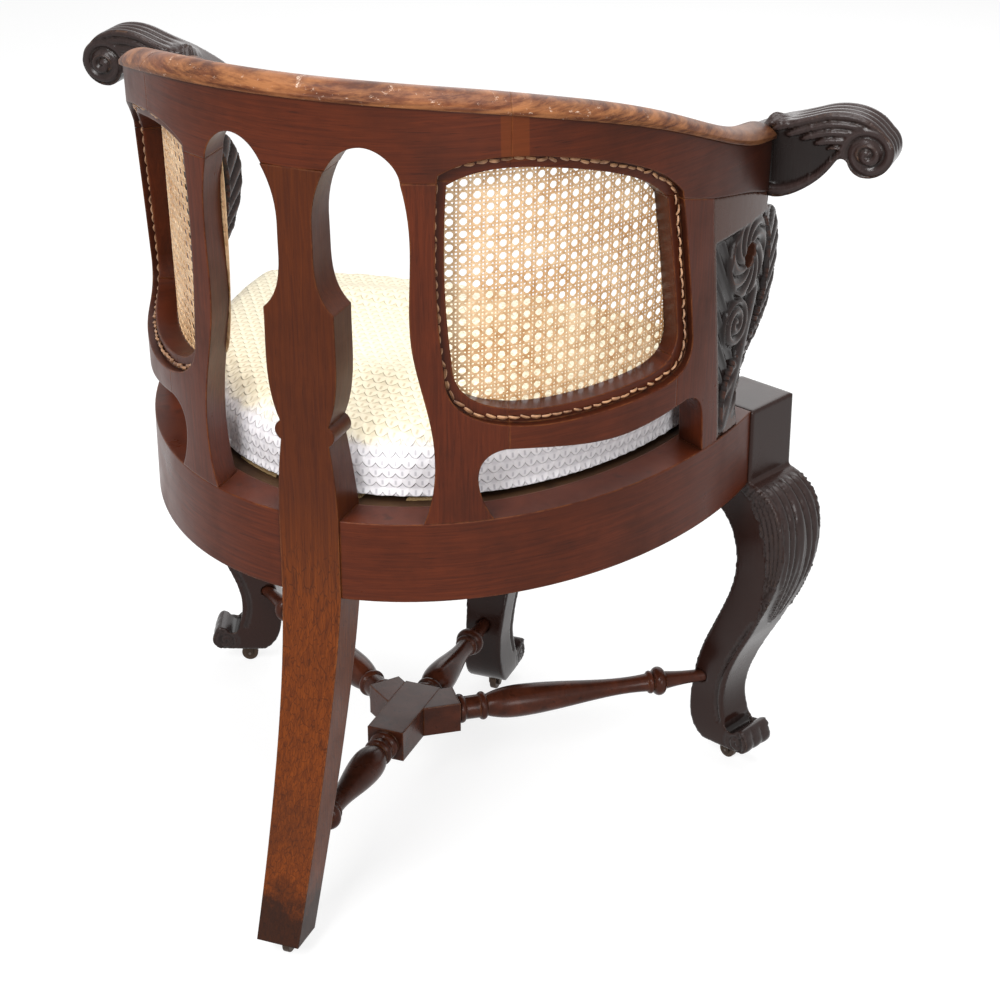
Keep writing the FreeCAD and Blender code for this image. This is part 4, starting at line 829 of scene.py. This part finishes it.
def waffle_cloth(colours):
    """Woven waffle cloth: rows of small raised scallops, each with a dark notch below and painted shade under
    its lip, soft and matt; its top is painted as the cloth in shade, its side as the cloth in sunlight.
    """
    material, tree, shader, top_place = blank("waffle_cloth", Roughness=0.85, Sheen_Weight=0.25,
                                              Sheen_Roughness=0.5)
    wide, tall, bow = 0.0125, 0.0095, 0.5
    side_place = add(tree, "UVMap", uv_map="cloth")
    share = add(tree, "Attribute", attribute_name="top_share").outputs["Fac"]
    heights, marks = [], []
    for place, up in ((top_place, -1.0), (side_place, 1.0)):
        scaled = add(tree, "Mapping", {"Vector": place, "Scale": (1.0 / wide, up / tall, 1.0)})
        split = add(tree, "SeparateXYZ", {0: scaled}).outputs
        row = sums(tree, "FLOOR", split[1])
        moved = sums(tree, "MULTIPLY_ADD", row, 0.5, split[0])
        column = sums(tree, "FRACT", moved)
        level = sums(tree, "FRACT", split[1])
        centred = sums(tree, "SUBTRACT", column, 0.5)
        off = sums(tree, "ABSOLUTE", centred)
        square = sums(tree, "MULTIPLY", off, off)
        lip = sums(tree, "MULTIPLY", square, 4.0 * bow)
        above = sums(tree, "SUBTRACT", level, lip)
        scale = sums(tree, "SUBTRACT", 1.0, above)
        far = sums(tree, "MULTIPLY_ADD", off, -2.0, 1.0)
        far_square = sums(tree, "MULTIPLY", far, far)
        far_lip = sums(tree, "MULTIPLY", far_square, bow)
        lower = sums(tree, "SUBTRACT", far_lip, level)
        inside = ramp(tree, above, -0.06, 0.06)
        heights.append(add(tree, "Mix", {0: inside, 2: lower, 3: scale}))
        narrow = ramp(tree, off, 0.13, 0.04)
        band = between(tree, level, 0.32, 0.66, 0.12)
        notch = sums(tree, "MULTIPLY", narrow, band)
        marks.append(notch)
    height = add(tree, "Mix", {0: share, 2: heights[1], 3: heights[0]})
    notched = add(tree, "Mix", {0: share, 2: marks[1], 3: marks[0]})
    # Painted light: the sunlit white side and the shaded cream top of one cloth.
    base = blend(tree, share, linear(colours.cloth_side_lit), linear(colours.cloth_top_shaded))
    # Tint of the printed notches and of the painted shade under each lip, grey on the lit side and tan on the
    # shaded top.
    ink_and_shade = blend(tree, share, linear("#a9a6ae"), linear("#b9a67c"))
    # Painted shade: darkens the low part of each scallop, under the lip of the one above.
    lip_shade = ramp(tree, height, 0.35, 0.0, 0.32)
    marks_and_shade = sums(tree, "MULTIPLY_ADD", notched, 0.6, lip_shade, use_clamp=True)
    colour = blend(tree, marks_and_shade, base, ink_and_shade)
    tree.links.new(colour, shader.inputs["Base Color"])
    relief = add(tree, "Bump", {"Strength": 0.85, "Distance": 0.0016, "Height": height})
    tree.links.new(relief.outputs[0], shader.inputs["Normal"])
    return material


def split_cane(name, light, dark):
    """Split rattan: glossy strips whose tan varies from strand to strand, with darker knots."""
    material, tree, shader, place = blank(name, Roughness=0.42, IOR=1.5)
    tone = add(tree, "TexNoise", {"Vector": place, "Scale": 160.0, "Detail": 3.0})
    age = add(tree, "TexNoise", {"Vector": place, "Scale": 22.0, "Detail": 2.0})
    both = sums(tree, "MULTIPLY", tone, age)
    share = ramp(tree, both, 0.14, 0.40)
    colour = blend(tree, share, linear(light), linear(dark))
    tree.links.new(colour, shader.inputs["Base Color"])
    return material


def cast_metal(name, colour, metallic, roughness):
    """Old iron: dull, with a fine cast grain and rust-brown clouds."""
    material, tree, shader, place = blank(name, Metallic=metallic)
    cloud = add(tree, "TexNoise", {"Vector": place, "Scale": 260.0, "Detail": 4.0})
    tint = blend(tree, cloud, linear(colour), linear("#4a382b"))
    tree.links.new(tint, shader.inputs["Base Color"])
    matt = ramp(tree, cloud, 0.0, 1.0, roughness + 0.25, roughness)
    tree.links.new(matt.outputs[0], shader.inputs["Roughness"])
    relief = add(tree, "Bump", {"Strength": 0.2, "Distance": 0.0003, "Height": cloud})
    tree.links.new(relief.outputs[0], shader.inputs["Normal"])
    return material


def jute(name):
    """Jute straps: a coarse plain weave of brown-grey threads 2 mm apart."""
    material, tree, shader, place = blank(name, Roughness=0.9)
    thread = add(tree, "TexChecker", {"Vector": place, "Scale": 500.0, "Color1": linear("#9a8058"),
                                      "Color2": linear("#7a6240")})
    tree.links.new(thread.outputs[0], shader.inputs["Base Color"])
    return material


class CHAIR_OT_polish_wood(bpy.types.Operator):
    """Gives every plain wooden piece its polish"""
    bl_idname = "chair.polish_wood"
    bl_label = "Polish the woodwork"

    def execute(self, context):
        colours = context.scene.chair_colours
        dark = colours.mahogany_dark
        level = (colours.mahogany, dark, LEVEL_GRAIN, 0.26, colours)
        upright = (colours.mahogany, dark, UPRIGHT_GRAIN, 0.26, colours)
        rails = polished_wood("mahogany_level_grain", *level)[0]
        crest = keyed_crest(polished_wood("mahogany_keyed_crest", *level), colours)
        handled(crest, colours, 0.75)
        posts = polished_wood("mahogany_upright_grain", *upright)[0]
        caps = scuffed(polished_wood("mahogany_rubbed_cap", colours.cap, dark, LEVEL_GRAIN, 0.3, colours,
                                     wear=0.5, grime_and_shade=0.6, bare=colours.cap_bare), colours, 0.7)
        handled(caps, colours, 0.6)
        turned = polished_wood("mahogany_turned", colours.turned, colours.grime_and_shade, TURNED_GRAIN, 0.14,
                               colours)[0]
        leg = polished_wood("mahogany_worn_leg", colours.leg_worn, dark, UPRIGHT_GRAIN, 0.28, colours,
                            wear=0.5)
        stained_foot(leg, colours)
        beech = polished_wood("beech", "#5e432a", "#3c2818", LEVEL_GRAIN, 0.5, colours, wear=0.2)[0]
        paint(crest[0], "crest_rail", "arm_rail")
        paint(rails, "seat_rail", "panel_rail")
        paint(posts, "inner_stile", "outer_stile", "knee_ear")
        paint(caps[0], "cap_")
        paint(turned, "stretcher")
        paint(leg[0], "rear_post")
        paint(beech, "seat_frame")
        paint(jute("jute_webbing"), "seat_webbing")
        return {"FINISHED"}


class CHAIR_OT_carve_wood(bpy.types.Operator):
    """Carves the hands, the legs and the arm supports"""
    bl_idname = "chair.carve_wood"
    bl_label = "Carve hands, legs and supports"

    def execute(self, context):
        sizes, colours = context.scene.chair_sizes, context.scene.chair_colours
        grain, depth = sizes.carve_grain, sizes.carve_depth
        uncut = {"hand": colours.carved, "support": colours.carved_plain, "leg": colours.leg_side}
        finishes = {}
        for piece, plain in uncut.items():
            wood = polished_wood("carved_%s_mahogany" % piece, colours.carved, colours.carved_grain,
                                 UPRIGHT_GRAIN, 0.12, colours, wear=0.7, grime_and_shade=0.35,
                                 bare=colours.carved_bare, hollow=0.007, gloss=0.3)
            finishes[piece] = cut_tones(wood, colours, plain)[0]
        for side, sign in SIDES:
            carved_skin("scroll_hand_" + side, "carved_hand_" + side, grain, 2, hand_carving(sign, depth),
                        finishes["hand"], hand_worn(sign))
            carved_skin("arm_support_" + side, "carved_support_" + side, grain, 1,
                        support_carving(sign, depth), finishes["support"])
        for node in LEGS:
            carved_skin(node, "carved_" + node, grain * 1.2, 2, leg_carving(node, depth), finishes["leg"])
        return {"FINISHED"}


class CHAIR_OT_cane_back(bpy.types.Operator):
    """Weaves the cane panels and laces them to their frames"""
    bl_idname = "chair.cane_back"
    bl_label = "Cane the back"

    def execute(self, context):
        sizes, colours = context.scene.chair_sizes, context.scene.chair_colours
        cane = split_cane("split_cane", colours.cane, colours.cane_old)
        loops = split_cane("browned_cane", colours.lace, colours.lace_old)
        for number, (side, sign) in enumerate(SIDES):
            meshes = ((weave("cane_weave_" + side, sign, sizes), cane),
                      (binding("cane_binding_" + side, sign), cane),
                      (lacing("cane_lacing_" + side, sign, sizes, 7 + number), loops))
            pieces = [new_object(mesh.name, mesh, finish) for mesh, finish in meshes]
            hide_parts("cane_panel_" + side)
            for piece in pieces:
                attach(piece, CHAIR)
        return {"FINISHED"}


class CHAIR_OT_fill_cushion(bpy.types.Operator):
    """Fills the cushion and covers it"""
    bl_idname = "chair.fill_cushion"
    bl_label = "Fill the cushion"

    def execute(self, context):
        sizes, colours = context.scene.chair_sizes, context.scene.chair_colours
        obj, places, foot = fill_cushion(sizes)
        lay_cloth(obj, places, foot)
        smooth_shade(obj.data)
        obj.data.materials.append(waffle_cloth(colours))
        fine = obj.modifiers.new("fine", "SUBSURF")
        fine.levels = fine.render_levels = 1
        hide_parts("seat_cushion")
        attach(obj, CHAIR)
        return {"FINISHED"}


class CHAIR_OT_finish_casters(bpy.types.Operator):
    """Gives the casters their metals"""
    bl_idname = "chair.finish_casters"
    bl_label = "Finish the casters"

    def execute(self, context):
        colours = context.scene.chair_colours
        iron = cast_metal("cast_iron", colours.iron, 0.8, 0.45)
        tread = cast_metal("iron_tread", "#3a342f", 0.8, 0.35)
        steel = cast_metal("old_steel", "#6a6561", 1.0, 0.3)
        paint(iron, "caster_plate", "caster_horn")
        paint(tread, "caster_wheel")
        paint(steel, "caster_axle", "caster_screws")
        return {"FINISHED"}


class CHAIR_OT_set_stage(bpy.types.Operator):
    """Sets out the floor, the lamps and the camera"""
    bl_idname = "chair.set_stage"
    bl_label = "Set the stage"

    def execute(self, context):
        scene = context.scene
        bm = bmesh.new()
        bmesh.ops.create_grid(bm, x_segments=1, y_segments=1, size=12.0)
        floor = new_object("floor", mesh_of(bm, "floor"), studio_floor(scene.chair_colours.floor))
        for name, (place, size, power) in LAMPS.items():
            lamp = bpy.data.lights.new(name, "AREA")
            lamp.size = size
            lamp.energy = power
            holder = bpy.data.objects.new(name, lamp)
            holder.location = place
            way = Vector(LAMP_TARGET) - Vector(place)
            holder.rotation_euler = way.to_track_quat("-Z", "Y").to_euler()
            scene.collection.objects.link(holder)
        world = bpy.data.worlds.new("studio")
        world.use_nodes = True
        back = world.node_tree.nodes["Background"]
        back.inputs["Color"].default_value = (1.0, 1.0, 1.0, 1.0)
        world.node_tree.links.new(shown(world.node_tree, 0.8, 0.2), back.inputs["Strength"])
        scene.world = world
        camera = bpy.data.cameras.new("camera")
        camera.lens = CAMERA_LENS
        camera.sensor_width = 36.0
        view = bpy.data.objects.new("camera", camera)
        view.location = CAMERA_PLACE
        view.rotation_euler = Vector(CAMERA_WAY).to_track_quat("-Z", "Y").to_euler()
        scene.collection.objects.link(view)
        scene.camera = view
        scene.view_settings.view_transform = "Standard"
        return {"FINISHED"}


def shown(tree, more, least):
    """A light's strength: least as a lamp, and more where the camera or a polished surface shows it."""
    path = add(tree, "LightPath").outputs
    seen = path["Is Camera Ray"]
    for kind in ("Is Glossy Ray", "Is Transmission Ray"):
        seen = sums(tree, "MAXIMUM", seen, path[kind]).outputs[0]
    strength = sums(tree, "MULTIPLY_ADD", seen, more, least)
    return strength.outputs[0]


def studio_floor(colour):
    """Matt grey paper, lifted to white for the camera so that only the shadow shows."""
    material = bpy.data.materials.new("white_paper")
    material.use_nodes = True
    tree = material.node_tree
    tree.nodes.clear()
    paper = add(tree, "BsdfDiffuse", {"Color": (*colour, 1.0)})
    lift = add(tree, "Emission", {"Color": (1.0, 1.0, 1.0, 1.0), "Strength": shown(tree, 0.8, 0.0)})
    both = add(tree, "AddShader", {0: paper, 1: lift})
    add(tree, "OutputMaterial", {"Surface": both})
    return material


STEPS = (CHAIR_OT_polish_wood, CHAIR_OT_carve_wood, CHAIR_OT_cane_back, CHAIR_OT_fill_cushion,
         CHAIR_OT_finish_casters, CHAIR_OT_set_stage)


class CHAIR_PT_panel(bpy.types.Panel):
    """Lists the chair's sizes, colours and steps"""
    bl_label = "Chair"
    bl_idname = "CHAIR_PT_panel"
    bl_space_type = "VIEW_3D"
    bl_region_type = "UI"
    bl_category = "Chair"

    def draw(self, context):
        for group in (context.scene.chair_sizes, context.scene.chair_colours):
            for name in group.__annotations__:
                self.layout.prop(group, name)
        for step in STEPS:
            self.layout.operator(step.bl_idname)


CLASSES = (ChairSizes, ChairColours, *STEPS, CHAIR_PT_panel)


def register():
    for item in CLASSES:
        bpy.utils.register_class(item)
    bpy.types.Scene.chair_sizes = PointerProperty(type=ChairSizes)
    bpy.types.Scene.chair_colours = PointerProperty(type=ChairColours)


def unregister():
    del bpy.types.Scene.chair_sizes
    del bpy.types.Scene.chair_colours
    for item in reversed(CLASSES):
        bpy.utils.unregister_class(item)


def main():
    register()
    bpy.ops.chair.polish_wood()
    bpy.ops.chair.carve_wood()
    bpy.ops.chair.cane_back()
    bpy.ops.chair.fill_cushion()
    bpy.ops.chair.finish_casters()
    bpy.ops.chair.set_stage()


if __name__ == "__main__":
    main()
